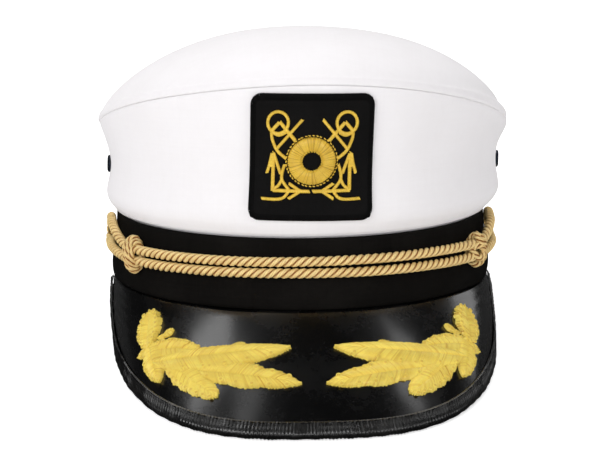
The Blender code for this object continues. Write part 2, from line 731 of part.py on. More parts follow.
def main():
    clear_scene()
    cap = collection("captain_cap")
    cutters = collection("cutters")
    holder = add_object("cap_lean", None, cap, None)

    band = make_band(cap, holder)
    vents = [eyelet_cutter("vent_cutter_" + s, k, cutters, holder) for s, k in (("left", -1), ("right", 1))]
    pieces = [band, make_crown_wall(cap, holder, vents), make_crown_top(cap, holder), make_peak(cap, holder)]
    binding = make_binding(cap, holder)
    bores = curve_as_mesh(cord_curve("cord_bores", CORD_DIAMETER / 2 + GAP, cutters, holder, None), cutters)
    hide_helper(bores)
    gold = material("gold_cord", GOLD_CORD)
    pieces += [binding, cord_curve("gold_cord", CORD_DIAMETER / 2, cap, holder, gold)]
    for side_name, side in (("left", -1), ("right", 1)):
        pieces.append(make_knot("cord_knot_" + side_name, side, bores, cap, holder))
        pieces.append(make_button("side_button_" + side_name, side, cap, holder))
        pieces.append(make_eyelet("eyelet_" + side_name, side, cap, holder))
        pieces.append(make_spray("leaf_spray_" + side_name, side, cap, cutters, holder))
    pieces += [make_patch(cap, holder), make_badge_ring(cap, holder)]
    rest_on_floor(pieces, band, binding, cutters, holder)


main()
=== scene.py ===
"""Finish of a white peaked captain cap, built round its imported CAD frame.

White cotton crown wall and top, a black band, a glossy peak with a bound edge, a doubled twisted
gold cord with two knots, side buttons, vent eyelets, an embroidered badge patch and two
embroidered leaf sprays on the peak. Every piece rides on the one body.

Metres, +Z up, peak towards -Y. Pieces are laid out on the level cap, with the band's lower rim
at z = 0, and then leaned back to where the cap rests on the floor (see lean_back).
Angles go round the cap in degrees: 0 at the front, +90 at +X, 180 at the back.
"""

import math
from contextlib import contextmanager

import bmesh
import bpy
import numpy as np
from mathutils import Matrix, Vector
from mathutils.bvhtree import BVHTree


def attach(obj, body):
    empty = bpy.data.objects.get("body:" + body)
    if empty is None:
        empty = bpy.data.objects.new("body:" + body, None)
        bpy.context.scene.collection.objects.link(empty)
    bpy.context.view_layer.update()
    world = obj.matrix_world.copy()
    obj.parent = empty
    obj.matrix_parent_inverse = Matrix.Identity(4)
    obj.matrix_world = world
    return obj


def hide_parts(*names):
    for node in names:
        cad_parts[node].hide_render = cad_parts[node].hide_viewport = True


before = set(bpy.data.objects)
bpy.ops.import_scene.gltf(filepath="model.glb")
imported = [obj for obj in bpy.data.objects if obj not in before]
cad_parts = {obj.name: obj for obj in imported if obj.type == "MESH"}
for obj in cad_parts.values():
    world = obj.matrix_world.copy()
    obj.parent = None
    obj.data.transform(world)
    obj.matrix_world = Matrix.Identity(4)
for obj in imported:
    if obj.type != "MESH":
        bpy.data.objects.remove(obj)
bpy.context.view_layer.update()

# How the level cap is leaned back and set down
LEAN_DEGREES = -10.90747
LEAN_SHIFT = np.array((0.0, 0.0153201, 0.0187679))

# Sizes shared with the CAD, in metres
GAP = 0.0003
BAND_HALF_WIDTH = 0.0870
BAND_HALF_LENGTH = 0.1010
BAND_HEIGHT = 0.0308
BAND_DRAW_IN = 0.0018
BAND_ROLL = 0.0008
BAND_ROLL_HEIGHT = 0.0070
BAND_WALL = 0.0020
CROWN_CLOTH = 0.0015
TUCK_DEPTH = 0.0045
SEAM_HALF_WIDTH = 0.0934
SEAM_HALF_LENGTH = 0.1070
SEAM_FRONT_HEIGHT = 0.0960
SEAM_SIDE_HEIGHT = 0.0712
SEAM_BACK_HEIGHT = 0.0600
SEAM_ALLOWANCE = 0.0050
BULGE_HEIGHT = 0.0090
BULGE_FRONT = 0.0024
BULGE_SOFT = 0.0050
WAIST = 0.0030
DOME_RISE = 0.0382
DOME_POWER = 0.60
PEAK_THICKNESS = 0.0022
PEAK_REACH = 0.0395
PEAK_DROP = 0.0430
PEAK_EDGE_HALF_WIDTH = 0.0858
PEAK_EDGE_POWER = 2.85
PEAK_TIP_DROP = 0.0035
PEAK_TIP_RUN = 0.0600
PEAK_CAMBER = 0.0012
PEAK_FLANGE = 0.0060
BINDING_WIDTH = 0.0052
BINDING_CLOTH = 0.0009
CORD_DIAMETER = 0.0041
CORD_LOOP_RADIUS = 0.0054
KNOT_ANGLE = 57.0
KNOT_HEIGHT = 0.0176
BUTTON_ANGLE = 86.0
BUTTON_HEIGHT = 0.0222
BUTTON_RADIUS = 0.0030
BUTTON_SHANK_RADIUS = 0.0019
BUTTON_SHANK = 0.0024
BUTTON_HEAD = 0.0012
PATCH_SIZE = 0.0532
PATCH_CORNER = 0.0042
PATCH_THICKNESS = 0.0016
PATCH_CENTRE_HEIGHT = 0.0658
PATCH_OFFSET = 0.0002
RING_RADIUS = 0.0072
RING_HALF_WIDTH = 0.0029
RING_OFFSET = -0.0013
EYELET_ANGLE = 85.5
EYELET_HEIGHT = 0.0525
EYELET_RADIUS = 0.0040
EYELET_BARREL = 0.0025
EYELET_HOLE = 0.0019
SPRAY_ANGLE = 38.0
SPRAY_SHARE = 0.40

# Sizes of the finish alone. The patch is sewn on a little turned (in degrees) and follows the
# crown's flare. A rope's strands are shares of its diameter.
FLOOR_CLEAR = 0.0001
PATCH_TURN = -0.8
PATCH_FLARE = 0.10
BINDING_TIP_CLEAR = 0.0004
BINDING_TIP_SLACK = 0.0002
RIB_PITCH = 0.00150
RIB_DEPTH = 0.00024
TAPE_SEAM_DEPTH = 0.00055
MACHINE_STITCH = 0.0019
MACHINE_PITCH = 0.0026
WELT_HEIGHT = 0.00055
ROPE_STEP = 0.00065
ROPE_DIAMETER = 0.00435
ROPE_LAY = 0.0102
KNOT_STEP = 0.0006
KNOT_DIAMETER = 0.0031
KNOT_LAY = 0.0086
LAY_SHARE = 0.268
STRAND_SHARE = 0.226
LEAF_PITCH = 0.00052

# The cord's two front strands from left to right: angle, height, lift beyond lying on the band
CORD_UPPER = (
    (-80, 0.0273, 0.0004), (-75, 0.0263, 0.0012), (-70, 0.0243, 0.0017), (-66, 0.0222, 0.0018),
    (-62, 0.0206, 0.0018), (-57, 0.0202, 0.0018), (-51, 0.0201, 0.0009), (-42, 0.0202, 0.0001),
    (-28, 0.0206, 0.0000), (-14, 0.0209, 0.0000), (0, 0.0212, 0.0000), (14, 0.0213, 0.0000),
    (28, 0.0212, 0.0000), (42, 0.0209, 0.0001), (51, 0.0206, 0.0009), (57, 0.0203, 0.0018),
    (62, 0.0206, 0.0018), (66, 0.0222, 0.0018), (70, 0.0243, 0.0017), (75, 0.0263, 0.0012),
    (80, 0.0273, 0.0004),
)
CORD_LOWER = (
    (-80, 0.0169, 0.0004), (-75, 0.0168, 0.0012), (-70, 0.0163, 0.0017), (-66, 0.0157, 0.0018),
    (-62, 0.0152, 0.0018), (-57, 0.0150, 0.0018), (-51, 0.0150, 0.0009), (-42, 0.0152, 0.0001),
    (-28, 0.0157, 0.0000), (-14, 0.0161, 0.0000), (0, 0.0162, 0.0000), (14, 0.0160, 0.0000),
    (28, 0.0157, 0.0000), (42, 0.0152, 0.0001), (51, 0.0149, 0.0009), (57, 0.0149, 0.0018),
    (62, 0.0152, 0.0018), (66, 0.0157, 0.0018), (70, 0.0163, 0.0017), (75, 0.0168, 0.0012),
    (80, 0.0169, 0.0004),
)


# ---- Camera, floor and light ----


def make_camera():
    data = bpy.data.cameras.new("camera")
    data.lens = 128.3
    data.sensor_width = 36.0
    camera = bpy.data.objects.new("camera", data)
    bpy.context.scene.collection.objects.link(camera)
    camera.location = (-0.0414, -0.9213, 0.3763)
    aim = Vector((0.0, 0.0193, 0.0392))
    camera.rotation_euler = (aim - camera.location).to_track_quat("-Z", "Y").to_euler()
    bpy.context.scene.camera = camera


def add_softbox(name, place, aim, size, power):
    data = bpy.data.lights.new(name, "AREA")
    data.shape = "RECTANGLE"
    data.size, data.size_y = size
    data.energy = power
    light = bpy.data.objects.new(name, data)
    bpy.context.scene.collection.objects.link(light)
    light.location = place
    light.rotation_euler = (Vector(aim) - Vector(place)).to_track_quat("-Z", "Y").to_euler()


def make_floor():
    finish, tree, shader = new_material("floor_paper")
    path = node(tree, "ShaderNodeLightPath").outputs
    paper, unseen = (0.90, 0.90, 0.90), (0.03, 0.03, 0.03)
    set_inputs(tree, shader, {
        "Base Color": mixed_colour(tree, path["Is Glossy Ray"], paper, unseen),
        "Emission Strength": maths(tree, "MULTIPLY", path["Is Camera Ray"], 0.55),
        "Emission Color": (1.0, 1.0, 1.0, 1.0),
        "Roughness": 0.9,
        "Specular IOR Level": 0.1,
    })
    half = 4.0
    corners = [(-half, -half, 0.0), (half, -half, 0.0), (half, half, 0.0), (-half, half, 0.0)]
    mesh = bpy.data.meshes.new("floor")
    mesh.from_pydata(corners, [], [(0, 1, 2, 3)])
    floor = add_object("floor", mesh, finish)


def make_light():
    scene = bpy.context.scene
    scene.view_settings.view_transform = "Standard"
    world = bpy.data.worlds.new("studio")
    scene.world = world
    world.use_nodes = True
    tree = world.node_tree
    background = tree.nodes["Background"]
    path = node(tree, "ShaderNodeLightPath").outputs
    soft = maths(tree, "MULTIPLY_ADD", path["Is Glossy Ray"], -0.365, 0.38)
    strength = maths(tree, "MAXIMUM", soft, path["Is Camera Ray"])
    background.inputs["Color"].default_value = (1.0, 1.0, 1.0, 1.0)
    tree.links.new(strength, background.inputs["Strength"])
    cap = (0.0, -0.02, 0.07)
    for name, place, size, power in (
        ("key_left", (-1.05, -1.25, 1.05), (0.9, 0.9), 14.0),
        ("fill_right", (1.30, -0.90, 0.75), (0.7, 1.0), 4.6),
        ("front", (0.0, -2.2, 0.55), (1.4, 0.7), 10.0),
        ("back_top", (0.0, 0.9, 1.4), (1.6, 0.8), 14.0),
        ("card_left", (-0.62, 0.12, 0.92), (0.34, 0.30), 0.9),
        ("card_front_left", (-0.30, -0.15, 0.92), (0.36, 0.10), 0.16),
        ("card_right", (0.62, 0.04, 0.92), (0.30, 0.20), 0.35),
        ("card_back_right", (1.2, 0.9, 0.42), (0.40, 0.40), 0.6),
    ):
        add_softbox(name, place, cap, size, power)


# ---- Node trees ----


def set_inputs(tree, made, values):
    """Sets a node's inputs, by position or by name, to sockets or to plain values."""
    for key, value in values.items():
        if isinstance(value, bpy.types.NodeSocket):
            tree.links.new(value, made.inputs[key])
        else:
            made.inputs[key].default_value = value


def node(tree, kind, inputs=(), **settings):
    """Adds a node, with its inputs in order or by name."""
    made = tree.nodes.new(kind)
    for key, value in settings.items():
        setattr(made, key, value)
    set_inputs(tree, made, inputs if isinstance(inputs, dict) else dict(enumerate(inputs)))
    return made


def maths(tree, operation, *inputs):
    return node(tree, "ShaderNodeMath", inputs, operation=operation).outputs[0]


def vector_maths(tree, operation, *inputs):
    made = node(tree, "ShaderNodeVectorMath", inputs, operation=operation)
    return made.outputs["Value" if operation in ("LENGTH", "DOT_PRODUCT") else "Vector"]


def scaled(tree, vector, scale):
    return node(tree, "ShaderNodeVectorMath", {0: vector, "Scale": scale}, operation="SCALE").outputs[0]


def new_group(name, kind, inputs, outputs):
    """A node group with named inputs, each (name, socket type, default), and named outputs."""
    group = bpy.data.node_groups.new(name, kind)
    for label, socket, default in inputs:
        made = group.interface.new_socket(label, in_out="INPUT", socket_type=socket)
        if default is not None:
            made.default_value = default
    for label, socket in outputs:
        group.interface.new_socket(label, in_out="OUTPUT", socket_type=socket)
    start = group.nodes.new("NodeGroupInput")
    end = group.nodes.new("NodeGroupOutput")
    return group, start.outputs, end.inputs


def use_group(tree, name, **values):
    """Places a shader group, with its values by input name."""
    made = tree.nodes.new("ShaderNodeGroup")
    made.node_tree = bpy.data.node_groups[name]
    set_inputs(tree, made, {key.replace("_", " ").capitalize(): value for key, value in values.items()})
    return made.outputs


def noise(tree, vector, scale, detail):
    return node(tree, "ShaderNodeTexNoise", {"Vector": vector, "Scale": scale, "Detail": detail}).outputs[0]


def object_place(tree):
    return node(tree, "ShaderNodeTexCoord").outputs["Object"]


def new_material(name):
    finish = bpy.data.materials.new(name)
    finish.use_nodes = True
    tree = finish.node_tree
    return finish, tree, tree.nodes["Principled BSDF"]


# ---- Shared shader effects ----


def weave_group():
    """Threads crossing over and under, from a vector in metres over the cloth."""
    group, given, out = new_group(
        "weave", "ShaderNodeTree",
        [("Vector", "NodeSocketVector", None), ("Pitch", "NodeSocketFloat", 0.0006),
         ("Twill", "NodeSocketFloat", 0.0), ("Slub", "NodeSocketFloat", 0.5)],
        [("Height", "NodeSocketFloat"), ("Thread", "NodeSocketFloat")],
    )
    turns = maths(group, "DIVIDE", 2 * math.pi, given["Pitch"])
    place = node(group, "ShaderNodeSeparateXYZ", [scaled(group, given["Vector"], turns)])
    across, along = place.outputs[0], place.outputs[1]
    plain = maths(group, "MULTIPLY", maths(group, "SINE", across), maths(group, "SINE", along))
    diagonal = maths(group, "SINE", maths(group, "ADD", across, along))
    crossing = node(group, "ShaderNodeMix", {0: given["Twill"], 2: plain, 3: diagonal}).outputs[0]
    threads = []
    for stretch in ((0.02, 1.0, 1.0), (1.0, 0.02, 1.0)):
        laid = vector_maths(group, "MULTIPLY", given["Vector"], stretch)
        threads.append(noise(group, laid, 900.0, 1.0))
    slubs = maths(group, "MULTIPLY_ADD", maths(group, "ADD", *threads), 0.5, -0.5)
    uneven = maths(group, "MULTIPLY", slubs, given["Slub"])
    half = maths(group, "MULTIPLY_ADD", crossing, 0.5, 0.5)
    group.links.new(maths(group, "ADD", half, maths(group, "MULTIPLY", uneven, 2.0)), out["Height"])
    group.links.new(maths(group, "ADD", 0.5, uneven), out["Thread"])


def wear_group():
    """Handling marks: broad soft shading and finer patches, 0 where untouched."""
    group, given, out = new_group(
        "wear", "ShaderNodeTree",
        [("Vector", "NodeSocketVector", None), ("Patch size", "NodeSocketFloat", 0.03),
         ("Amount", "NodeSocketFloat", 0.5)],
        [("Mask", "NodeSocketFloat")],
    )
    scale = maths(group, "DIVIDE", 1.0, given["Patch size"])
    broad = noise(group, given["Vector"], scale, 4.0)
    fine = noise(group, given["Vector"], maths(group, "MULTIPLY", scale, 9.0), 3.0)
    mixed = maths(group, "MULTIPLY_ADD", fine, 0.35, broad)
    ramp = node(group, "ShaderNodeMapRange", {0: mixed, 1: 0.55, 2: 0.85}, interpolation_type="SMOOTHSTEP")
    group.links.new(maths(group, "MULTIPLY", ramp.outputs[0], given["Amount"]), out["Mask"])


def grain_group():
    """The fine uneven skin of coated cloth: a pebble and stretched streaks."""
    group, given, out = new_group(
        "grain", "ShaderNodeTree",
        [("Vector", "NodeSocketVector", None), ("Pebble", "NodeSocketFloat", 0.0012),
         ("Stretch", "NodeSocketVector", (1.0, 1.0, 1.0))],
        [("Height", "NodeSocketFloat"), ("Streak", "NodeSocketFloat")],
    )
    scale = maths(group, "DIVIDE", 1.0, given["Pebble"])
    pebble = noise(group, given["Vector"], scale, 3.0)
    streak = noise(group, vector_maths(group, "MULTIPLY", given["Vector"], given["Stretch"]), scale, 2.0)
    group.links.new(maths(group, "ADD", pebble, streak), out["Height"])
    group.links.new(streak, out["Streak"])


# ---- Materials ----


def mixed_colour(tree, share, first, second):
    """A colour between two, each a socket or red, green and blue."""
    first = first if isinstance(first, bpy.types.NodeSocket) else (*first, 1.0)
    return node(tree, "ShaderNodeMix", {0: share, 6: first, 7: (*second, 1.0)}, data_type="RGBA").outputs[2]


def add_bump(tree, shader, height, distance, strength=1.0):
    bump = node(tree, "ShaderNodeBump", {"Height": height, "Distance": distance, "Strength": strength})
    tree.links.new(bump.outputs[0], shader.inputs["Normal"])


def cloth_material(
    name, colours, pitch, twill, bump, roughness, wear, slub=0.5, sheen=0.0, specular=0.25
):
    finish, tree, shader = new_material(name)
    flat = node(tree, "ShaderNodeUVMap").outputs[0]
    solid = object_place(tree)
    weave = use_group(tree, "weave", vector=flat, pitch=pitch, twill=twill, slub=slub)
    marks = use_group(tree, "wear", vector=solid, patch_size=0.025, amount=wear)
    thread = mixed_colour(tree, weave["Thread"], colours[0], colours[1])
    set_inputs(tree, shader, {
        "Base Color": mixed_colour(tree, marks["Mask"], thread, colours[2]),
        "Roughness": maths(tree, "MULTIPLY_ADD", weave["Thread"], 0.10, roughness - 0.05),
        "Specular IOR Level": specular,
        "Sheen Weight": sheen,
    })
    add_bump(tree, shader, weave["Height"], bump)
    return finish


def patent_material(name, colours, roughness, stretch, bump, coat):
    finish, tree, shader = new_material(name)
    flat = node(tree, "ShaderNodeUVMap").outputs[0]
    grain = use_group(tree, "grain", vector=flat, pebble=0.0011, stretch=stretch)
    marks = use_group(tree, "wear", vector=flat, patch_size=0.018, amount=1.0)
    rough = maths(tree, "MULTIPLY_ADD", marks["Mask"], 0.10, roughness)
    set_inputs(tree, shader, {
        "Base Color": mixed_colour(tree, marks["Mask"], *colours),
        "Roughness": maths(tree, "MULTIPLY_ADD", grain["Streak"], 0.06, rough),
        "Coat Weight": coat,
        "Coat Roughness": 0.17,
    })
    add_bump(tree, shader, grain["Height"], bump)
    return finish


def thread_material(name, colours, roughness, fibre_turns, fibre_lean, bump, sheen, specular=0.6):
    """Satin yarn. Fibres follow the laid attributes: along the yarn in metres, and round it."""
    finish, tree, shader = new_material(name)
    along, around, tone = (
        node(tree, "ShaderNodeAttribute", attribute_name=label).outputs["Fac"]
        for label in ("along", "around", "tone")
    )
    lean = maths(tree, "MULTIPLY", along, fibre_lean)
    turn = maths(tree, "MULTIPLY_ADD", around, 2 * math.pi * fibre_turns, lean)
    fibre = maths(tree, "MULTIPLY_ADD", maths(tree, "SINE", turn), 0.5, 0.5)
    marks = use_group(tree, "wear", vector=object_place(tree), patch_size=0.006, amount=0.6)
    # Darkened towards the third colour by random wear patches and by the laid "tone"; on the rope that tone
    # is painted shade in the valleys and grooves.
    dark = maths(tree, "MAXIMUM", maths(tree, "MULTIPLY", marks["Mask"], 0.5), tone)
    base = mixed_colour(tree, fibre, colours[0], colours[1])
    set_inputs(tree, shader, {
        "Base Color": mixed_colour(tree, dark, base, colours[2]),
        "Roughness": maths(tree, "MULTIPLY_ADD", fibre, -0.10, roughness),
        "Specular IOR Level": specular,
        "Sheen Weight": sheen,
        "Sheen Roughness": 0.4,
    })
    add_bump(tree, shader, fibre, bump)
    return finish


def metal_material(name, colours, roughness, metallic):
    finish, tree, shader = new_material(name)
    solid = object_place(tree)
    marks = use_group(tree, "wear", vector=solid, patch_size=0.0025, amount=1.0)
    grain = use_group(tree, "grain", vector=solid, pebble=0.0006, stretch=(1.0, 1.0, 0.1))
    set_inputs(tree, shader, {
        "Base Color": mixed_colour(tree, marks["Mask"], *colours),
        "Roughness": maths(tree, "MULTIPLY_ADD", marks["Mask"], 0.15, roughness),
        "Metallic": metallic,
    })
    add_bump(tree, shader, grain["Height"], 0.00002)
    return finish


def make_materials():
    weave_group()
    wear_group()
    grain_group()
    made = {}
    made["cotton"] = cloth_material(
        "white_cotton", ((0.80, 0.775, 0.79), (0.88, 0.86, 0.875), (0.80, 0.775, 0.785)),
        0.00062, 0.0, 0.00005, 0.85, 0.35, sheen=0.1,
    )
    made["band"] = cloth_material(
        "black_band_cloth", ((0.0022, 0.0020, 0.0018), (0.008, 0.007, 0.0062), (0.009, 0.008, 0.007)),
        0.00060, 1.0, 0.00006, 0.90, 0.5, slub=0.8, specular=0.05,
    )
    made["patch"] = cloth_material(
        "black_patch_twill", ((0.002, 0.002, 0.002), (0.007, 0.0065, 0.0065), (0.007, 0.0065, 0.0065)),
        0.00070, 1.0, 0.00008, 0.88, 0.4, slub=0.8, specular=0.12,
    )
    made["patent"] = patent_material(
        "black_patent", ((0.0010, 0.0010, 0.0011), (0.0028, 0.0028, 0.0030)),
        0.20, (9.0, 0.6, 1.0), 0.000018, 1.0,
    )
    made["binding"] = patent_material(
        "black_binding", ((0.0025, 0.0025, 0.0025), (0.007, 0.0065, 0.006)),
        0.24, (1.0, 6.0, 1.0), 0.00010, 0.8,
    )
    # The cord's third colour is its painted shade in the grooves, and also its wear colour.
    made["cord"] = thread_material(
        "gold_cord_satin", ((1.0, 0.64, 0.20), (1.0, 0.89, 0.47), (0.38, 0.13, 0.015)),
        0.32, 22, 900.0, 0.00006, 0.0,
    )
    made["gold"] = thread_material(
        "gold_rayon_thread", ((0.95, 0.69, 0.075), (1.0, 0.88, 0.21), (0.66, 0.36, 0.02)),
        0.36, 5, 1500.0, 0.00003, 0.1,
    )
    made["black_thread"] = thread_material(
        "black_edge_thread", ((0.002, 0.002, 0.002), (0.008, 0.0075, 0.0075), (0.0015, 0.0015, 0.0015)),
        0.80, 5, 1500.0, 0.00003, 0.0, specular=0.08,
    )
    made["badge_gold"] = thread_material(
        "gold_badge_thread", ((0.84, 0.50, 0.03), (1.0, 0.78, 0.13), (0.42, 0.20, 0.01)),
        0.34, 5, 1500.0, 0.00003, 0.0,
    )
    made["brass"] = metal_material("brass_button", ((0.83, 0.60, 0.24), (0.48, 0.31, 0.10)), 0.22, 1.0)
    made["eyelet"] = metal_material("blued_eyelet", ((0.035, 0.045, 0.065), (0.012, 0.014, 0.02)), 0.30, 0.9)
    return made


# ---- Mesh building ----


def lean_back(points):
    """Points on the level cap, moved to where they are as the cap rests."""
    turn = np.array(Matrix.Rotation(math.radians(LEAN_DEGREES), 3, "X"))
    return np.asarray(points, float) @ turn.T + LEAN_SHIFT


def lean_matrix():
    return Matrix.Translation(LEAN_SHIFT) @ Matrix.Rotation(math.radians(LEAN_DEGREES), 4, "X")


def add_object(name, mesh, finish=None):
    obj = bpy.data.objects.new(name, mesh)
    bpy.context.scene.collection.objects.link(obj)
    if finish:
        mesh.materials.append(finish)
    return obj


def run_lengths(points, axis):
    """Distance along each line of a grid of points, from its start."""
    steps = np.linalg.norm(np.diff(points, axis=axis), axis=-1)
    start = np.zeros_like(np.take(steps, [0], axis=axis))
    return np.concatenate([start, np.cumsum(steps, axis=axis)], axis=axis)


def cloth_uv(grid, closed, row=None):
    """Flat coordinates in metres: round the cap along one row, and up each column."""
    full = np.concatenate([grid, grid[:, :1]], axis=1) if closed else grid
    round_it = run_lengths(full, 1)[len(full) // 2 if row is None else row]
    up = run_lengths(full, 0)
    return np.stack([np.broadcast_to(round_it, up.shape), up], axis=-1)


def grid_object(name, grid, finish, closed=False, loop_rows=False, uv=None, pole=None):
    """A surface through a grid of level-cap points, leaned back. Rows run up the outer side."""
    rows, columns = grid.shape[:2]
    if uv is None:
        uv = cloth_uv(grid, closed)
    if loop_rows:
        uv = np.concatenate([uv, uv[:1]])
    steps_up = np.arange(rows if loop_rows else rows - 1)
    steps_round = np.arange(columns if closed else columns - 1)
    r, c = np.meshgrid(steps_up, steps_round, indexing="ij")
    corners = ((r, c), (r, c + 1), (r + 1, c + 1), (r + 1, c))
    faces = np.stack([(a % rows) * columns + b % columns for a, b in corners], axis=-1)
    faces = faces.reshape(-1, 4).tolist()
    uvs = np.stack([uv[a, b] for a, b in corners], axis=-2).reshape(-1, 2)
    points = lean_back(grid.reshape(-1, 3))
    if pole is not None:
        ends = np.arange(columns)
        last = (rows - 1) * columns
        faces += [(last + i, last + (i + 1) % columns, rows * columns) for i in ends]
        points = np.concatenate([points, lean_back([pole])])
        middle = np.broadcast_to(uv[-1].mean(axis=0), (columns, 2))
        fan = np.stack([uv[-1, ends], uv[-1, ends + 1], middle], axis=1)
        uvs = np.concatenate([uvs, fan.reshape(-1, 2)])
    mesh = bpy.data.meshes.new(name)
    mesh.from_pydata(points.tolist(), [], faces)
    mesh.uv_layers.new(name="UVMap").data.foreach_set("uv", uvs.astype(np.float32).ravel())
    mesh.shade_smooth()
    return add_object(name, mesh, finish)


def applied(obj):
    """The object as a plain mesh, with its modifiers applied."""
    graph = bpy.context.evaluated_depsgraph_get()
    mesh = bpy.data.meshes.new_from_object(obj.evaluated_get(graph))
    obj.modifiers.clear()
    old = obj.data
    obj.data = mesh
    mesh.name = obj.name
    if isinstance(old, bpy.types.Mesh):
        bpy.data.meshes.remove(old)
    return obj


def thicken(obj, thickness, outwards=False):
    wall = obj.modifiers.new("wall", "SOLIDIFY")
    wall.thickness = thickness
    wall.offset = 1.0 if outwards else -1.0
    wall.use_even_offset = True
    return applied(obj)


@contextmanager
def edited(mesh):
    """The mesh as a bmesh, written back afterwards."""
    bm = bmesh.new()
    bm.from_mesh(mesh)
    yield bm
    bm.to_mesh(mesh)
    bm.free()


def finish_piece(obj, slot, *nodes):
    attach(obj, "root")
    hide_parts(*nodes)


# ---- Surfaces of the level cap ----


def unit(vectors):
    return vectors / np.linalg.norm(vectors, axis=-1, keepdims=True)


def near(value, centre, reach):
    """1 at the centre, falling smoothly to 0 beyond the reach."""
    return np.exp(-(((value - centre) / reach) ** 2))


def oval(half_width, half_length, angle, height):
    turn = np.radians(angle)
    parts = np.broadcast_arrays(half_width * np.sin(turn), -half_length * np.cos(turn), height)
    return np.stack(parts, axis=-1).astype(float)


def surface_normal(surface, angle, height, step=0.4):
    along = surface(angle + step, height) - surface(angle - step, height)
    rise = surface(angle, height + step / 1000) - surface(angle, height - step / 1000)
    return unit(np.cross(along, rise))


def turns(count):
    return -180.0 + 360.0 * np.arange(count) / count


def band_surface(angle, height):
    share = height / BAND_HEIGHT
    roll = BAND_ROLL * np.exp(-(((height - BAND_ROLL_HEIGHT) / BAND_ROLL_HEIGHT) ** 2))
    swell = roll - BAND_DRAW_IN * share - BAND_ROLL * math.exp(-1.0)
    return oval(BAND_HALF_WIDTH + swell, BAND_HALF_LENGTH + swell, angle, height)


def softness(angle):
    """0 at the stiffened front of the crown, 1 from the sides to the back."""
    return 1.0 - np.maximum(0.0, np.cos(np.radians(angle))) ** 2


def seam_height(angle, share=1.0):
    """Height of the seam, which on soft cloth isn't quite even from left to right."""
    turn = np.radians(angle)
    ends = (SEAM_FRONT_HEIGHT + SEAM_BACK_HEIGHT) / 4
    middle = ends + SEAM_SIDE_HEIGHT / 2
    lean = (SEAM_FRONT_HEIGHT - SEAM_BACK_HEIGHT) / 2
    saddle = ends - SEAM_SIDE_HEIGHT / 2
    uneven = 0.0008 * near(angle, -55, 25) - 0.0023 * near(angle, 88, 30) - 0.0006 * near(angle, -90, 20)
    level = middle + share * lean * np.cos(turn) + share**2 * saddle * np.cos(2 * turn)
    return level + share**4 * uneven


def cloth_drift(angle, share, spread):
    """How far the crown leans to +X, and stands out further on that side."""
    return 0.0010 * share + 0.0009 * near(angle, 92, 50) * spread


def crown_surface(angle, height):
    """Outer side of the crown wall, between the band's upper rim and the seam."""
    foot = BAND_HEIGHT + GAP
    share = (height - foot) / (seam_height(angle) - foot)
    soft = softness(angle)
    rise = np.maximum(0.0, height - foot) / BULGE_HEIGHT
    bulge = (BULGE_FRONT + (BULGE_SOFT - BULGE_FRONT) * soft) * (rise * np.exp(1.0 - rise)) ** 2
    waist = WAIST * soft + 0.0002 * near(angle, -88, 30) - 0.0008 * near(angle, 88, 30)
    swell = bulge - waist * np.sin(math.pi * np.clip(share, 0.0, 1.0))
    rim_width = BAND_HALF_WIDTH - BAND_DRAW_IN
    rim_length = BAND_HALF_LENGTH - BAND_DRAW_IN
    half_width = rim_width + (SEAM_HALF_WIDTH - rim_width) * share + swell
    half_length = rim_length + (SEAM_HALF_LENGTH - rim_length) * share + swell
    made = oval(half_width, half_length, angle, height)
    made[..., 0] += cloth_drift(angle, np.clip(share, 0.0, 1.0), np.clip(rise, 0.0, 1.0))
    return made


def dome_surface(angle, turn):
    """Outer side of the crown top. The turn goes from 0 degrees at the seam to 90 in the middle."""
    share = np.cos(np.radians(turn))
    height = seam_height(angle, share) + DOME_RISE * np.sin(np.radians(turn)) ** (2 * DOME_POWER)
    made = oval(SEAM_HALF_WIDTH * share, SEAM_HALF_LENGTH * share, angle, height)
    made[..., 0] += cloth_drift(angle, 1.0, share**6)
    return made


def peak_root(angle):
    inset = 0.0005
    return oval(BAND_HALF_WIDTH - inset, BAND_HALF_LENGTH - inset, angle, -GAP)


def peak_edge(angle):
    turn = np.radians(angle)
    power = 2.0 / PEAK_EDGE_POWER
    x = PEAK_EDGE_HALF_WIDTH * np.sign(angle) * np.abs(np.sin(turn)) ** power
    y = -(BAND_HALF_LENGTH + PEAK_REACH) * np.maximum(0.0, np.cos(turn)) ** power
    slope = PEAK_DROP / (2 * BAND_HALF_LENGTH + PEAK_REACH)
    lift = BAND_HALF_LENGTH * slope - PEAK_TIP_DROP
    rise = np.maximum(0.0, 1.0 + y / PEAK_TIP_RUN) ** 2
    return np.stack([x, y, -(BAND_HALF_LENGTH - y) * slope + lift * rise], axis=-1)


def between(start, end, share):
    return start + (end - start) * np.asarray(share)[..., None]


def peak_normal(angle, share):
    low, high = np.maximum(-90.0, angle - 0.5), np.minimum(90.0, angle + 0.5)
    ahead, behind = (between(peak_edge(turn), peak_root(turn), share) for turn in (high, low))
    return unit(np.cross(ahead - behind, peak_root(angle) - peak_edge(angle)))


def peak_surface(angle, share):
    point = between(peak_edge(angle), peak_root(angle), share)
    return point + peak_normal(angle, share) * (PEAK_CAMBER * np.sin(math.pi * np.asarray(share)))[..., None]


def stand_on(point, outward, upward=(0.0, 0.0, 1.0)):
    """A matrix at a level-cap point with Z along the outward normal and Y as near upward as it goes."""
    z = Vector(outward).normalized()
    x = Vector(upward).cross(z).normalized()
    return Matrix.Translation(point) @ Matrix((x, z.cross(x), z)).transposed().to_4x4()


# ---- Yarn and rope, laid by Geometry Nodes ----


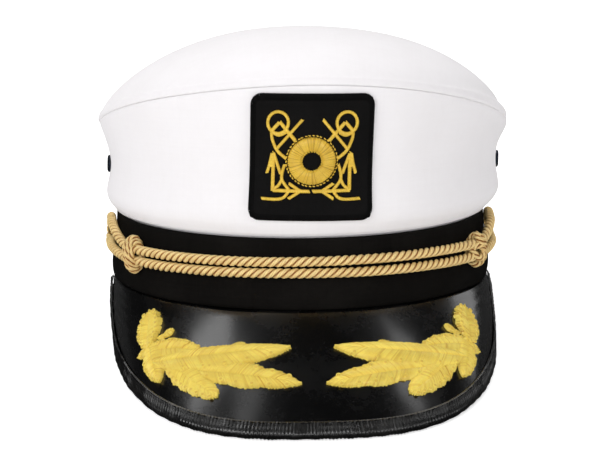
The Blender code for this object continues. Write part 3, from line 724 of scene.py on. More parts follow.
def rope_tree():
    """Lays strands round a path. The path's points carry "along" in metres and "out", a vector."""
    group, given, out = new_group(
        "laid_rope", "GeometryNodeTree",
        [("Path", "NodeSocketGeometry", None), ("Strands", "NodeSocketInt", 3),
         ("Lay radius", "NodeSocketFloat", 0.001), ("Strand radius", "NodeSocketFloat", 0.001),
         ("Lay length", "NodeSocketFloat", 0.01), ("Yarns", "NodeSocketInt", 5),
         ("Yarn depth", "NodeSocketFloat", 0.1), ("Yarn lean", "NodeSocketFloat", 0.0),
         ("Finish", "NodeSocketMaterial", None)],
        [("Rope", "NodeSocketGeometry")],
    )
    curve = node(group, "GeometryNodeMeshToCurve", {"Mesh": given["Path"]}).outputs[0]
    copies = node(
        group, "GeometryNodeDuplicateElements", {"Geometry": curve, "Amount": given["Strands"]},
        domain="SPLINE",
    ).outputs
    along = read_attribute(group, "along")
    outward = read_attribute(group, "out", "FLOAT_VECTOR")
    tangent = node(group, "GeometryNodeInputTangent").outputs[0]
    strand = maths(group, "DIVIDE", copies["Duplicate Index"], given["Strands"])
    lays = maths(group, "ADD", maths(group, "DIVIDE", along, given["Lay length"]), strand)
    turn = maths(group, "MULTIPLY", 2 * math.pi, lays)
    side = vector_maths(group, "CROSS_PRODUCT", outward, tangent)
    outwards = scaled(group, outward, maths(group, "COSINE", turn))
    sideways = scaled(group, side, maths(group, "SINE", turn))
    radial = vector_maths(group, "ADD", outwards, sideways)
    stored = store_attribute(group, copies[0], "radial", radial, "FLOAT_VECTOR")
    stored = store_attribute(group, stored, "heart", position(group), "FLOAT_VECTOR")
    radial = read_attribute(group, "radial", "FLOAT_VECTOR")
    offset = scaled(group, radial, given["Lay radius"])
    moved = node(group, "GeometryNodeSetPosition", {"Geometry": stored, "Offset": offset}).outputs[0]
    facing = node(
        group, "GeometryNodeSetCurveNormal", {"Curve": moved, "Normal": radial}, mode="FREE"
    ).outputs[0]
    tilt = maths(group, "MULTIPLY", along, given["Yarn lean"])
    tilted = node(group, "GeometryNodeSetCurveTilt", {"Curve": facing, "Tilt": tilt}).outputs[0]
    points_per_yarn = 4.0
    steps = maths(group, "MULTIPLY", given["Yarns"], points_per_yarn)
    circle = circle_profile(group, steps, given["Strand radius"])
    index = node(group, "GeometryNodeInputIndex").outputs[0]
    lobe = maths(group, "COSINE", maths(group, "MULTIPLY", index, 2 * math.pi / points_per_yarn))
    swell = maths(group, "MULTIPLY_ADD", lobe, given["Yarn depth"], 1.0)
    place = scaled(group, position(group), swell)
    lobed = node(group, "GeometryNodeSetPosition", {"Geometry": circle, "Position": place}).outputs[0]
    profile = store_attribute(group, lobed, "around", maths(group, "DIVIDE", index, steps))
    # Painted shade: the profile's valleys between yarns are darkened through "tone".
    painted_valley_shade = maths(group, "MULTIPLY", maths(group, "MAXIMUM", maths(group, "MULTIPLY", lobe, -1.0), 0.0), 0.4)
    profile = store_attribute(group, profile, "tone", painted_valley_shade)
    laid = finish_mesh(group, tilted, profile, 1.0, given["Finish"])
    # Painted shade: the deeper a point lies in the grooves between strands, the darker its "tone"; the darker
    # of the two shades is kept.
    heart = read_attribute(group, "heart", "FLOAT_VECTOR")
    depth = vector_maths(group, "LENGTH", vector_maths(group, "SUBTRACT", position(group), heart))
    outermost = maths(group, "ADD", given["Lay radius"], given["Strand radius"])
    share = maths(group, "DIVIDE", depth, outermost)
    groove = node(
        group, "ShaderNodeMapRange", {0: share, 1: 0.96, 2: 0.74, 3: 0.0, 4: 1.0}, clamp=True
    ).outputs[0]
    painted_shade = maths(group, "MAXIMUM", read_attribute(group, "tone"), groove)
    group.links.new(store_attribute(group, laid, "tone", painted_shade), out[0])


def read_attribute(group, label, kind="FLOAT"):
    return node(group, "GeometryNodeInputNamedAttribute", {"Name": label}, data_type=kind).outputs[0]


def store_attribute(group, geometry, label, value, kind="FLOAT"):
    return node(
        group, "GeometryNodeStoreNamedAttribute", {"Geometry": geometry, "Name": label, "Value": value},
        data_type=kind, domain="POINT",
    ).outputs[0]


def position(group):
    return node(group, "GeometryNodeInputPosition").outputs[0]


def circle_profile(group, steps, radius):
    circle = node(group, "GeometryNodeCurvePrimitiveCircle", {"Resolution": steps, "Radius": radius})
    return circle.outputs[0]


def finish_mesh(group, curve, profile, scale, finish):
    tube = node(
        group, "GeometryNodeCurveToMesh",
        {"Curve": curve, "Profile Curve": profile, "Scale": scale, "Fill Caps": True},
    ).outputs[0]
    smooth = node(group, "GeometryNodeSetShadeSmooth", {"Geometry": tube}).outputs[0]
    real = node(group, "GeometryNodeRealizeInstances", {"Geometry": smooth}).outputs[0]
    return node(group, "GeometryNodeSetMaterial", {"Geometry": real, "Material": finish}).outputs[0]


def thread_tree():
    """A round thread along every polyline, as thick as its points' "thick" radius says."""
    group, given, out = new_group(
        "laid_threads", "GeometryNodeTree",
        [("Lines", "NodeSocketGeometry", None), ("Sides", "NodeSocketInt", 6),
         ("Finish", "NodeSocketMaterial", None)],
        [("Threads", "NodeSocketGeometry")],
    )
    curve = node(group, "GeometryNodeMeshToCurve", {"Mesh": given["Lines"]}).outputs[0]
    thick = read_attribute(group, "thick")
    circle = circle_profile(group, given["Sides"], 1.0)
    index = node(group, "GeometryNodeInputIndex").outputs[0]
    profile = store_attribute(group, circle, "around", maths(group, "DIVIDE", index, given["Sides"]))
    group.links.new(finish_mesh(group, curve, profile, thick, given["Finish"]), out[0])


def line_object(name, lines, closed=False, **attributes):
    """A mesh of polylines. Each attribute is one list of values for each line's points."""
    points = np.concatenate([np.asarray(line, float) for line in lines])
    edges, start = [], 0
    for line in lines:
        count = len(line)
        edges += [(start + i, start + i + 1) for i in range(count - 1)]
        if closed:
            edges.append((start + count - 1, start))
        start += count
    mesh = bpy.data.meshes.new(name)
    mesh.from_pydata(points.tolist(), edges, [])
    for label, values in attributes.items():
        rows = [np.asarray(v, np.float32).reshape(len(line), -1) for v, line in zip(values, lines)]
        flat = np.concatenate(rows)
        kind, key = ("FLOAT_VECTOR", "vector") if flat.shape[1] == 3 else ("FLOAT", "value")
        mesh.attributes.new(label, kind, "POINT").data.foreach_set(key, flat.ravel())
    return add_object(name, mesh)


def grow(obj, tree, **values):
    """Runs a Geometry Nodes tree on the object and keeps its result as a plain mesh."""
    modifier = obj.modifiers.new("grow", "NODES")
    modifier.node_group = tree
    for item in tree.interface.items_tree:
        key = item.name.replace(" ", "_").lower()
        if item.in_out == "INPUT" and key in values:
            modifier[item.identifier] = values[key]
    return applied(obj)


class Stitches:
    """Threads gathered along polylines, then laid as one piece."""

    def __init__(self):
        self.lines, self.thick, self.tones = [], [], []

    def add(self, line, thick, tone=0.0):
        """A thread of one radius or one for each point, with a tone of 0 light to 1 dark."""
        line = np.asarray(line, float)
        self.lines.append(line)
        self.thick.append(np.full(len(line), thick))
        self.tones.append(np.full(len(line), tone))

    def lay(self, name, finish, sides=6):
        along = [run_lengths(line, 0) for line in self.lines]
        obj = line_object(name, self.lines, thick=self.thick, along=along, tone=self.tones)
        return grow(obj, bpy.data.node_groups["laid_threads"], sides=sides, finish=finish)


# ---- Cord and knots ----


def beside_band(angle, height, lift):
    distance = CORD_DIAMETER / 2 + 1.6 * GAP + lift
    return band_surface(angle, height) + surface_normal(band_surface, angle, height) * distance


def button_turn():
    points = []
    for turn in (90, 45, 0, -45, -90):
        along = CORD_LOOP_RADIUS * math.cos(math.radians(turn))
        angle = BUTTON_ANGLE + math.degrees(along / BAND_HALF_LENGTH)
        points.append((angle, BUTTON_HEIGHT + CORD_LOOP_RADIUS * math.sin(math.radians(turn)), 0.0))
    return points


def smooth_line(points, steps, closed=True):
    """A Catmull-Rom curve through the points."""
    points = np.asarray(points, float)
    count = len(points)
    ends = np.arange(count if closed else count - 1)
    picks = [(ends + j - 1) % count if closed else np.clip(ends + j - 1, 0, count - 1) for j in range(4)]
    a, b, c, d = (points[pick][:, None] for pick in picks)
    t = (np.arange(steps) / steps)[None, :, None]
    made = 0.5 * (2 * b + (c - a) * t + (2 * a - 5 * b + 4 * c - d) * t**2 + (3 * b - a - 3 * c + d) * t**3)
    made = made.reshape(-1, 3)
    return made if closed else np.concatenate([made, points[-1:]])


def at_run(points, run, wanted):
    """Places along a line, by distance from its start."""
    return np.stack([np.interp(wanted, run, line) for line in points.T], axis=-1)


def evenly(points, step, closed=True):
    """Points a step apart along a fine line, and the line's length."""
    points = np.concatenate([points, points[:1]]) if closed else points
    run = run_lengths(points, 0)
    count = int(round(run[-1] / step))
    wanted = run[-1] * np.arange(count if closed else count + 1) / count
    return at_run(points, run, wanted), run[-1]


def lay_rope(name, path, outward, length, diameter, lay, finish, closed, yarns):
    """A three-strand rope along level-cap points."""
    along = length * np.arange(len(path)) / (len(path) if closed else len(path) - 1)
    ahead = np.roll(path, -1, 0) - np.roll(path, 1, 0) if closed else np.gradient(path, axis=0)
    tangent = unit(ahead)
    flat = unit(outward - tangent * (outward * tangent).sum(-1, keepdims=True))
    turn = np.array(Matrix.Rotation(math.radians(LEAN_DEGREES), 3, "X"))
    turns_made = max(1, round(length / lay))
    obj = line_object(name, [lean_back(path)], closed, along=[along], out=[flat @ turn.T])
    return grow(
        obj, bpy.data.node_groups["laid_rope"], strands=3, yarns=yarns, yarn_depth=0.07, finish=finish,
        lay_radius=diameter * LAY_SHARE, strand_radius=diameter * STRAND_SHARE,
        lay_length=length / turns_made, yarn_lean=-2 * math.pi / (lay * 1.5),
    )


def make_cord(materials):
    right_turn = button_turn()
    left_turn = [(-angle, height, lift) for angle, height, lift in reversed(right_turn)]
    route = [*CORD_UPPER, *right_turn, *reversed(CORD_LOWER), *left_turn]
    fine = smooth_line([beside_band(*point) for point in route], 24)
    path, length = evenly(fine, ROPE_STEP)
    outward = unit(path * (BAND_HALF_WIDTH**-2, BAND_HALF_LENGTH**-2, 0.0))
    cord = lay_rope(
        "gold_cord_rope", path, outward, length, ROPE_DIAMETER, ROPE_LAY, materials["cord"], True, 5
    )
    finish_piece(cord, "gold_cord", "gold_cord")


def knot_frame(side):
    angle = side * KNOT_ANGLE
    normal = surface_normal(band_surface, angle, KNOT_HEIGHT)
    return np.array(stand_on(band_surface(angle, KNOT_HEIGHT), normal))


def place_in(matrix, points):
    return np.asarray(points, float) @ matrix[:3, :3].T + matrix[:3, 3]


# Each knot's yarn runs through these points: along the cord to the right, up the band, and out
# from it, in millimetres from the band under the knot's middle.
LEFT_KNOT = (
    (-2.6, -1.0, 5.6), (-3.4, 3.4, 6.2), (-3.0, 6.4, 5.0), (-1.7, 6.6, 3.4), (-1.2, 3.0, 1.2),
    (-0.4, -3.5, 1.2), (0.9, -6.9, 3.0), (0.6, -5.6, 6.4), (-0.8, -1.0, 7.9), (-2.0, 3.8, 7.4),
    (-1.2, 6.9, 5.2), (0.7, 6.2, 3.0), (1.2, 1.0, 1.2), (1.8, -4.2, 1.6), (2.2, -6.0, 4.0),
    (1.9, -3.4, 6.9), (0.9, 0.6, 8.0), (0.6, 4.2, 6.9), (1.8, 5.6, 4.6), (3.2, 3.4, 2.6),
    (3.6, -0.5, 2.2), (3.4, -4.0, 3.2), (3.0, -3.6, 5.6), (2.4, -0.4, 6.9), (2.6, 2.6, 6.0),
    (3.4, 3.0, 3.8),
)
RIGHT_KNOT = (
    (3.4, 1.4, 5.4), (3.6, 4.4, 5.2), (2.0, 6.3, 4.2), (-0.6, 6.0, 5.4), (-0.6, 3.2, 7.4),
    (1.4, 1.2, 7.9), (2.2, -2.0, 7.4), (1.2, -5.2, 6.0), (-0.8, -6.6, 4.2), (-1.8, -5.0, 1.8),
    (-1.0, 0.0, 1.0), (0.4, 4.6, 1.8), (0.6, 6.3, 4.6), (1.8, 4.4, 6.8), (3.2, 1.0, 7.2),
    (3.2, -2.6, 6.4), (1.9, -5.6, 4.6), (0.2, -4.6, 1.8), (-2.2, -1.0, 1.2), (-4.2, 1.2, 2.8),
    (-4.6, -1.0, 5.0), (-3.4, -3.4, 6.4), (-1.2, -3.0, 7.6), (0.3, -0.8, 8.0), (-0.9, 1.4, 7.0),
    (-3.2, 1.8, 5.6), (-4.0, 0.2, 4.0),
)


def make_knot(name, side, points, node_name, materials):
    matrix = knot_frame(side)
    fine = smooth_line(np.array(points) / 1000, 20, closed=False)
    path, length = evenly(fine, KNOT_STEP, closed=False)
    heart = (0.0, 0.0, 0.0042)
    outward = (path - heart) * (0.2, 1.0, 1.0)
    knot = lay_rope(
        name, place_in(matrix, path), unit(outward) @ matrix[:3, :3].T, length,
        KNOT_DIAMETER, KNOT_LAY, materials["cord"], False, 4,
    )
    finish_piece(knot, "gold_cord", node_name)


# ---- Crown, band and peak ----


def seam_pucker(angle):
    """The cloth's small gathers along the seam, round the cap."""
    a = np.radians(angle)
    return np.sin(a * 61) + 0.7 * np.sin(a * 97 + 1.3)


def turned_in(angles, offset):
    """The edge of the cloth that is turned in at the seam."""
    width, length = SEAM_HALF_WIDTH - SEAM_ALLOWANCE, SEAM_HALF_LENGTH - SEAM_ALLOWANCE
    return oval(width, length, angles, seam_height(angles) + offset)[None]


def crown_wall_grid(columns=360):
    angle = turns(columns)[None, :]
    foot_rows, middle_rows = np.linspace(0.02, 0.30, 20)[:-1], np.linspace(0.30, 0.90, 17)[:-1]
    share = np.concatenate([foot_rows, middle_rows, np.linspace(0.90, 1.0, 12)])[:, None]
    foot = BAND_HEIGHT + GAP
    top = seam_height(angle)
    height = foot + (top - foot) * share
    points = crown_surface(angle, height)
    normal = surface_normal(crown_surface, angle, np.minimum(height, top - 0.0005))
    soft = softness(angle)
    below = (1.0 - share) * (top - foot)
    pucker = seam_pucker(angle)
    a = np.radians(angle)
    drag = np.sin(a * 5 + 3.0 * share) + 0.6 * np.sin(a * 9 - 4.0 * share + 1.0)
    push = -0.00045 * near(below, 0.0, 0.0009)
    push = push + 0.00009 * pucker * np.exp(-below / 0.005) * (1.0 - near(below, 0.0, 0.0006))
    push = push + 0.00035 * drag * soft * np.sin(math.pi * share)
    for depth, at_angle, at_share, reach in ((0.0012, 86, 0.92, 0.14), (-0.0010, 74, 0.88, 0.12)):
        push = push + depth * near(angle + 30 * (1 - share), at_angle, 7) * near(share, at_share, reach)
    points = points + normal * push[..., None]
    tuck_inset = BAND_DRAW_IN + BAND_ROLL * math.exp(-1.0) + BAND_WALL + GAP
    tuck = (BAND_HALF_WIDTH - tuck_inset, BAND_HALF_LENGTH - tuck_inset)
    angles = turns(columns)
    low = np.stack([oval(*tuck, angles, BAND_HEIGHT - TUCK_DEPTH), oval(*tuck, angles, foot)])
    return np.concatenate([low, points, turned_in(angles, -GAP / 2)])


def cut_vents(obj):
    radius = EYELET_BARREL + GAP
    for side in (-1, 1):
        mesh = bpy.data.meshes.new("vent_cutter")
        with edited(mesh) as bm:
            bmesh.ops.create_cone(bm, cap_ends=True, segments=32, radius1=radius, radius2=radius, depth=0.012)
        mesh.transform(lean_matrix() @ eyelet_place(side))
        cutter = add_object("vent_cutter", mesh)
        cut = obj.modifiers.new("vent", "BOOLEAN")
        cut.object = cutter
        applied(obj)
        bpy.data.objects.remove(cutter, do_unlink=True)


def make_crown_wall(materials):
    wall = grid_object("crown_wall_cloth", crown_wall_grid(), materials["cotton"], closed=True)
    thicken(wall, CROWN_CLOTH)
    cut_vents(wall)
    finish_piece(wall, "crown_cloth", "crown_wall")


def make_crown_top(materials, columns=360):
    angle = turns(columns)[None, :]
    turn = np.concatenate([np.linspace(0.0, 12.0, 31)[:-1], np.linspace(12.0, 88.0, 40)])[:, None]
    points = dome_surface(angle, turn)
    along = dome_surface(angle + 0.4, turn) - dome_surface(angle - 0.4, turn)
    upper, lower = np.minimum(turn + 0.5, 90.0), np.maximum(turn - 0.3, 0.0)
    normal = unit(np.cross(along, dome_surface(angle, upper) - dome_surface(angle, lower)))
    above = run_lengths(points, 0)
    width = 0.0036 + 0.0022 * near(angle, 70, 22)
    welt = WELT_HEIGHT / (1.0 + np.exp((above - width) / 0.00035)) * (1.0 - np.exp(-above / 0.0005))
    pucker = seam_pucker(angle)
    push = welt + 0.00010 * pucker * np.exp(-above / 0.006) * (1.0 - np.exp(-above / 0.0008))
    sag = np.sin(3.1 * points[..., 0] / 0.05 + 1.0) * np.sin(2.3 * points[..., 1] / 0.05)
    push = push + 0.00035 * sag * np.clip(above / 0.02, 0.0, 1.0)
    push = push - 0.0009 * near(angle, 68, 16) * near(above, 0.0072, 0.0028)
    points = points + normal * push[..., None]
    angles = turns(columns)
    points[..., 2] += GAP / 2
    grid = np.concatenate([turned_in(angles, GAP / 2), points])
    reach = run_lengths(grid[::-1], 0)[::-1]
    flat_angle = np.radians(np.append(angles, 180.0))[None, :]
    reach = np.concatenate([reach, reach[:, :1]], axis=1)
    uv = np.stack([reach * np.sin(flat_angle), -reach * np.cos(flat_angle)], axis=-1)
    pole = dome_surface(0.0, 90.0)
    top = grid_object("crown_top_cloth", grid, materials["cotton"], closed=True, uv=uv, pole=pole)
    thicken(top, CROWN_CLOTH)
    finish_piece(top, "crown_cloth", "crown_top")


def make_band(materials, columns=360):
    angles = turns(columns)
    heights = np.linspace(0.0006, BAND_HEIGHT - 0.0004, 22)
    ease = 0.0004 * np.sin(np.radians(angles) * 7 + 0.6) + 0.0003 * np.sin(np.radians(angles) * 12)
    outer = []
    for height in heights:
        low = math.exp(-height / 0.008)
        sides = 0.0007 * (near(angles, -72, 22) + near(angles, 72, 22)) * near(height, 0.008, 0.006)
        made = band_surface(angles, height)
        outward = surface_normal(band_surface, angles, height)
        tuck = -0.0009 * math.exp(-height / 0.0012)
        outer.append(made + outward * (ease * low * 0.6 + sides + tuck)[:, None])
    rows = [band_surface(angles, 0.0) - surface_normal(band_surface, angles, 0.001) * 0.0016, *outer]
    upper_edge = ((BAND_HEIGHT, 0.0005), (BAND_HEIGHT, 0.0015))
    inner_side = ((BAND_HEIGHT / 2, BAND_WALL), (0.0006, BAND_WALL))
    for height, inset in upper_edge + inner_side:
        rows.append(band_surface(angles, height) - surface_normal(band_surface, angles, height) * inset)
    band = grid_object("band_cloth", np.stack(rows), materials["band"], closed=True, loop_rows=True)
    keep_off_floor(band)
    finish_piece(band, "band_cloth", "band")


def keep_off_floor(obj):
    """Flattens what would reach below the floor."""
    points = np.empty(len(obj.data.vertices) * 3)
    obj.data.vertices.foreach_get("co", points)
    points[2::3] = np.maximum(points[2::3], FLOOR_CLEAR)
    obj.data.vertices.foreach_set("co", points)


def peak_lift(angle, share):
    """Height of the peak's soft waves and corner creases above its smooth shape."""
    a = np.radians(angle)
    wave = np.sin(a * 7 + 5 * share) + 0.8 * np.sin(a * 11 - 7 * share + 1.0)
    wave = wave + 0.6 * np.sin(a * 17 + 9 * share)
    corner = near(np.abs(angle), 80, 16) * near(share, 0.85, 0.35)
    crease = np.sin(share * 30 + np.abs(angle) * 0.35) + 0.6 * np.sin(share * 55 - np.abs(angle) * 0.2 + 1.0)
    fade = np.clip((share - 0.08) / 0.10, 0.0, 1.0) * np.clip((1.0 - share) / 0.06, 0.0, 1.0)
    return (0.00006 * wave + 0.00016 * corner * crease) * fade


def waved_peak(angle, share):
    return peak_surface(angle, share) + peak_normal(angle, share) * peak_lift(angle, share)[..., None]


def make_peak(materials, columns=241):
    angles = np.linspace(-90.0, 90.0, columns)
    shares = np.linspace(0.0, 1.0, 60)
    rows = [waved_peak(angles, np.full(columns, share)) for share in shares]
    inset = BAND_WALL + GAP
    inner = (BAND_HALF_WIDTH - inset, BAND_HALF_LENGTH - inset)
    rows.append(oval(*inner, angles, -GAP))
    upper_inset = inset + BAND_DRAW_IN * PEAK_FLANGE / BAND_HEIGHT
    rows.append(oval(BAND_HALF_WIDTH - upper_inset, BAND_HALF_LENGTH - upper_inset, angles, PEAK_FLANGE))
    peak = grid_object("peak_patent_top", np.stack(rows), materials["patent"])
    thicken(peak, PEAK_THICKNESS)
    finish_piece(peak, "peak_patent", "peak")
    return peak


def binding_reach(angle):
    """How far the tape covers the peak from its edge, as a share of the way to the band."""
    low, high = np.maximum(-90.0, angle - 0.3), np.minimum(90.0, angle + 0.3)
    edge_way = unit(peak_edge(high) - peak_edge(low))
    ruling = peak_root(angle) - peak_edge(angle)
    length = np.linalg.norm(ruling, axis=-1)
    askew = np.linalg.norm(np.cross(edge_way, ruling / length[..., None]), axis=-1)
    return np.minimum(BINDING_WIDTH / np.maximum(askew, 0.2), length - BINDING_TIP_CLEAR) / length


def binding_section(angle):
    """The tape's inner side, folded round the peak's edge from the underside to the upper side."""
    slack = GAP + BINDING_TIP_SLACK * np.abs(np.sin(np.radians(angle))) ** 12
    under = -PEAK_THICKNESS - slack
    nose = PEAK_THICKNESS / 2 + slack
    roundness = 0.62 - 0.50 * np.abs(np.sin(np.radians(angle))) ** 40
    inward = unit(peak_root(angle) - peak_edge(angle))
    reach = binding_reach(angle)
    section = [(reach * k, under, 0.0) for k in (1.0, 0.75, 0.5, 0.25, 0.0)]
    for turn in (-60, -30, 0, 30, 60):
        t = math.radians(turn)
        section.append((0.0, -PEAK_THICKNESS / 2 + nose * math.sin(t), nose * roundness * math.cos(t)))
    section += [(reach * k, slack, 0.0) for k in (0.0, 0.2, 0.4, 0.6, 0.8, 1.0)]
    rows = []
    for share, out, forward in section:
        share, out, forward = (np.broadcast_to(value, angle.shape) for value in (share, out, forward))
        place = peak_surface(angle, share) + peak_normal(angle, share) * out[:, None]
        rows.append(place - inward * forward[:, None])
    return np.stack(rows)


def make_binding(materials, columns=1000):
    fine = np.linspace(-89.6, 89.6, 4001)
    run = run_lengths(peak_edge(fine), 0)
    angles = np.interp(np.linspace(0.0, run[-1], columns), run, fine)
    along = np.linspace(0.0, run[-1], columns)
    inner = binding_section(angles)
    outward = np.gradient(inner, axis=0)
    tangent = np.gradient(inner, axis=1)
    normal = unit(np.cross(tangent, outward))
    rib = np.sin(2 * math.pi * along / RIB_PITCH + 1.6 * np.sin(along / 0.006))
    rib = rib * (0.65 + 0.35 * np.sin(along / 0.0045 + 1.0))
    rib = rib + 0.5 * np.sin(along / 0.0013 + 2.0 * np.sin(along / 0.011))
    rows = len(inner)
    seam = near(np.linspace(0.0, 1.0, rows)[:, None], 0.88, 0.030)
    thickness = BINDING_CLOTH + RIB_DEPTH * rib - TAPE_SEAM_DEPTH * seam
    edge = np.ones(rows)
    edge[[0, -1]] = 0.35
    outer = inner + normal * (thickness * edge[:, None])[..., None]
    grid = np.concatenate([outer, inner[::-1]])
    tape = grid_object("peak_binding_tape", grid, materials["binding"], loop_rows=True)
    close_ends(tape)
    keep_off_floor(tape)
    finish_piece(tape, "binding_tape", "peak_binding")
    return angles, along


def close_ends(obj):
    with edited(obj.data) as bm:
        bmesh.ops.holes_fill(bm, edges=[e for e in bm.edges if len(e.link_faces) == 1])


# ---- Buttons and eyelets ----


def make_turned(name, profile, matrix, finish, closed_profile=False, steps=64):
    """A turned piece about the matrix's Z. The profile is (radius, height), down its outer side."""
    mesh = bpy.data.meshes.new(name)
    last = len(profile) - 1
    edges = [(k, k + 1) for k in range(last)] + ([(last, 0)] if closed_profile else [])
    mesh.from_pydata([(radius, 0.0, height) for radius, height in profile], edges, [])
    obj = add_object(name, mesh, finish)
    screw = obj.modifiers.new("turn", "SCREW")
    screw.steps = screw.render_steps = steps
    screw.use_merge_vertices = True
    screw.merge_threshold = 0.00001
    applied(obj)
    with edited(obj.data) as bm:
        bmesh.ops.remove_doubles(bm, verts=bm.verts, dist=0.00001)
        bmesh.ops.recalc_face_normals(bm, faces=bm.faces)
    obj.data.shade_smooth()
    obj.data.set_sharp_from_angle(angle=math.radians(50))
    obj.data.transform(lean_matrix() @ matrix)
    return obj


def make_button(name, side, node_name, materials):
    head_shape = (
        (0.0, 1.0), (0.30, 0.98), (0.60, 0.86), (0.70, 0.74), (0.75, 0.62), (0.80, 0.74), (0.90, 0.72),
        (0.97, 0.50), (1.0, 0.25), (0.96, 0.0),
    )
    profile = [(BUTTON_RADIUS * out, BUTTON_SHANK + BUTTON_HEAD * up) for out, up in head_shape]
    profile += [(BUTTON_SHANK_RADIUS, BUTTON_SHANK), (BUTTON_SHANK_RADIUS, 0.0), (0.0, 0.0)]
    angle = side * BUTTON_ANGLE
    normal = surface_normal(band_surface, angle, BUTTON_HEIGHT)
    matrix = stand_on(band_surface(angle, BUTTON_HEIGHT) + normal * GAP, normal)
    finish_piece(make_turned(name, profile, matrix, materials["brass"]), "gold_button", node_name)


def eyelet_place(side):
    angle = side * EYELET_ANGLE
    normal = surface_normal(crown_surface, angle, EYELET_HEIGHT)
    return stand_on(crown_surface(angle, EYELET_HEIGHT), normal)


def make_eyelet(name, side, node_name, materials):
    depth = CROWN_CLOTH + 2 * GAP
    middle = (EYELET_BARREL + EYELET_RADIUS) / 2
    profile = [(EYELET_RADIUS, 0.0004)]
    for turn in range(10, 171, 16):
        t = math.radians(turn)
        out = middle + (EYELET_RADIUS - EYELET_HOLE) / 2 * math.cos(t) - 0.0003
        profile.append((out, 0.0004 + 0.0010 * math.sin(t)))
    profile += [(EYELET_HOLE, 0.0002), (EYELET_HOLE, -depth), (EYELET_BARREL, -depth), (EYELET_BARREL, 0.0)]
    profile += [(EYELET_RADIUS * 0.96, 0.0)]
    eyelet = make_turned(name, profile, eyelet_place(side), materials["eyelet"], closed_profile=True)
    finish_piece(eyelet, "eyelet_metal", node_name)


# ---- Badge patch ----


def on_crown_front(across, up, out):
    """Points out from the crown's front, measured across and up from the patch's centre."""
    across, up = np.broadcast_arrays(np.asarray(across, float), np.asarray(up, float))
    turn = math.radians(PATCH_TURN)
    cosine, sine = math.cos(turn), math.sin(turn)
    across, up = across * cosine - up * sine, across * sine + up * cosine
    height = PATCH_CENTRE_HEIGHT + up
    angle = np.degrees((PATCH_OFFSET + across) / (SEAM_HALF_WIDTH + PATCH_FLARE * up))
    normal = surface_normal(crown_surface, angle, height)
    return crown_surface(angle, height) + normal * np.broadcast_to(out, across.shape)[..., None]


def rounded_square(half, corner, steps):
    """Corner-rounded square outline, anticlockwise from the right side's middle."""
    points = [(half, 0.0)]
    for x, y, start in ((1, 1, 0), (-1, 1, 90), (-1, -1, 180), (1, -1, 270)):
        for k in range(steps + 1):
            turn = math.radians(start + 90.0 * k / steps)
            out = (corner * math.cos(turn), corner * math.sin(turn))
            points.append((x * (half - corner) + out[0], y * (half - corner) + out[1]))
    return np.array([*points, (half, 0.0)])


def walk(points, step):
    """Points a step apart along a flat line, with the direction at each."""
    points = np.asarray(points, float)
    run = run_lengths(points, 0)
    count = max(2, int(round(run[-1] / step)) + 1)
    wanted = np.linspace(0.0, run[-1], count)
    ahead = at_run(points, run, np.minimum(wanted + step / 2, run[-1]))
    behind = at_run(points, run, np.maximum(wanted - step / 2, 0.0))
    return at_run(points, run, wanted), unit(ahead - behind)


def make_patch(materials):
    half = PATCH_SIZE / 2
    cells = 56
    mesh = bpy.data.meshes.new("patch_base")
    with edited(mesh) as bm:
        bmesh.ops.create_grid(bm, x_segments=cells, y_segments=cells, size=half - 0.0009)
        corners = [v for v in bm.verts if len(v.link_edges) == 2]
        bmesh.ops.bevel(
            bm, geom=corners, affect="VERTICES", offset=PATCH_CORNER, segments=6, profile=0.5
        )
        flat = np.array([v.co for v in bm.verts])
        layer = bm.loops.layers.uv.new("UVMap")
        for face in bm.faces:
            for loop in face.loops:
                loop[layer].uv = loop.vert.co.xy
        for vert, place in zip(bm.verts, lean_back(on_crown_front(flat[:, 0], flat[:, 1], GAP))):
            vert.co = place
    mesh.shade_smooth()
    base = add_object("patch_base", mesh, materials["patch"])
    thicken(base, PATCH_THICKNESS - 0.0002, outwards=True)
    finish_piece(base, "patch_cloth", "badge_patch")
    middle, direction = walk(rounded_square(half - 0.0014, PATCH_CORNER - 0.0010, 8), 0.00042)
    random = np.random.default_rng(7)
    stitches = Stitches()
    for place, ahead in zip(middle[:-1], direction[:-1]):
        line = stitch_arc(place, beside(ahead) * 0.00155, ahead * 0.00025, GAP, PATCH_THICKNESS + 0.00015)
        stitches.add(line, 0.00025 + 0.00003 * random.random(), 0.5 * random.random())
    edge = stitches.lay("patch_edge_stitching", materials["black_thread"])
    finish_piece(edge, "patch_cloth", "badge_patch")


def beside(direction):
    """The flat direction a quarter turn to the right of another."""
    return np.array((direction[1], -direction[0]))


def stitch_arc(place, side, drift, low, high, steps=6):
    """A stitch over a raised line: up one side, across the top and down the other."""
    points = []
    for k in range(steps + 1):
        turn = math.pi * k / steps
        flat = place + side * math.cos(turn) + drift * math.cos(turn)
        points.append((flat[0], flat[1], low + (high - low) * math.sin(turn) ** 0.7))
    points = np.array(points)
    return lean_back(on_crown_front(points[:, 0], points[:, 1], points[:, 2]))


def arc(centre, radius, start, end, steps=24):
    turn = np.radians(np.linspace(start, end, steps))
    return np.stack([centre[0] + radius * np.cos(turn), centre[1] + radius * np.sin(turn)], axis=-1)


def bent(*points, steps=10):
    """A smooth flat line through points."""
    flat = [(x, y, 0.0) for x, y in points]
    return smooth_line(flat, steps, closed=False)[:, :2]


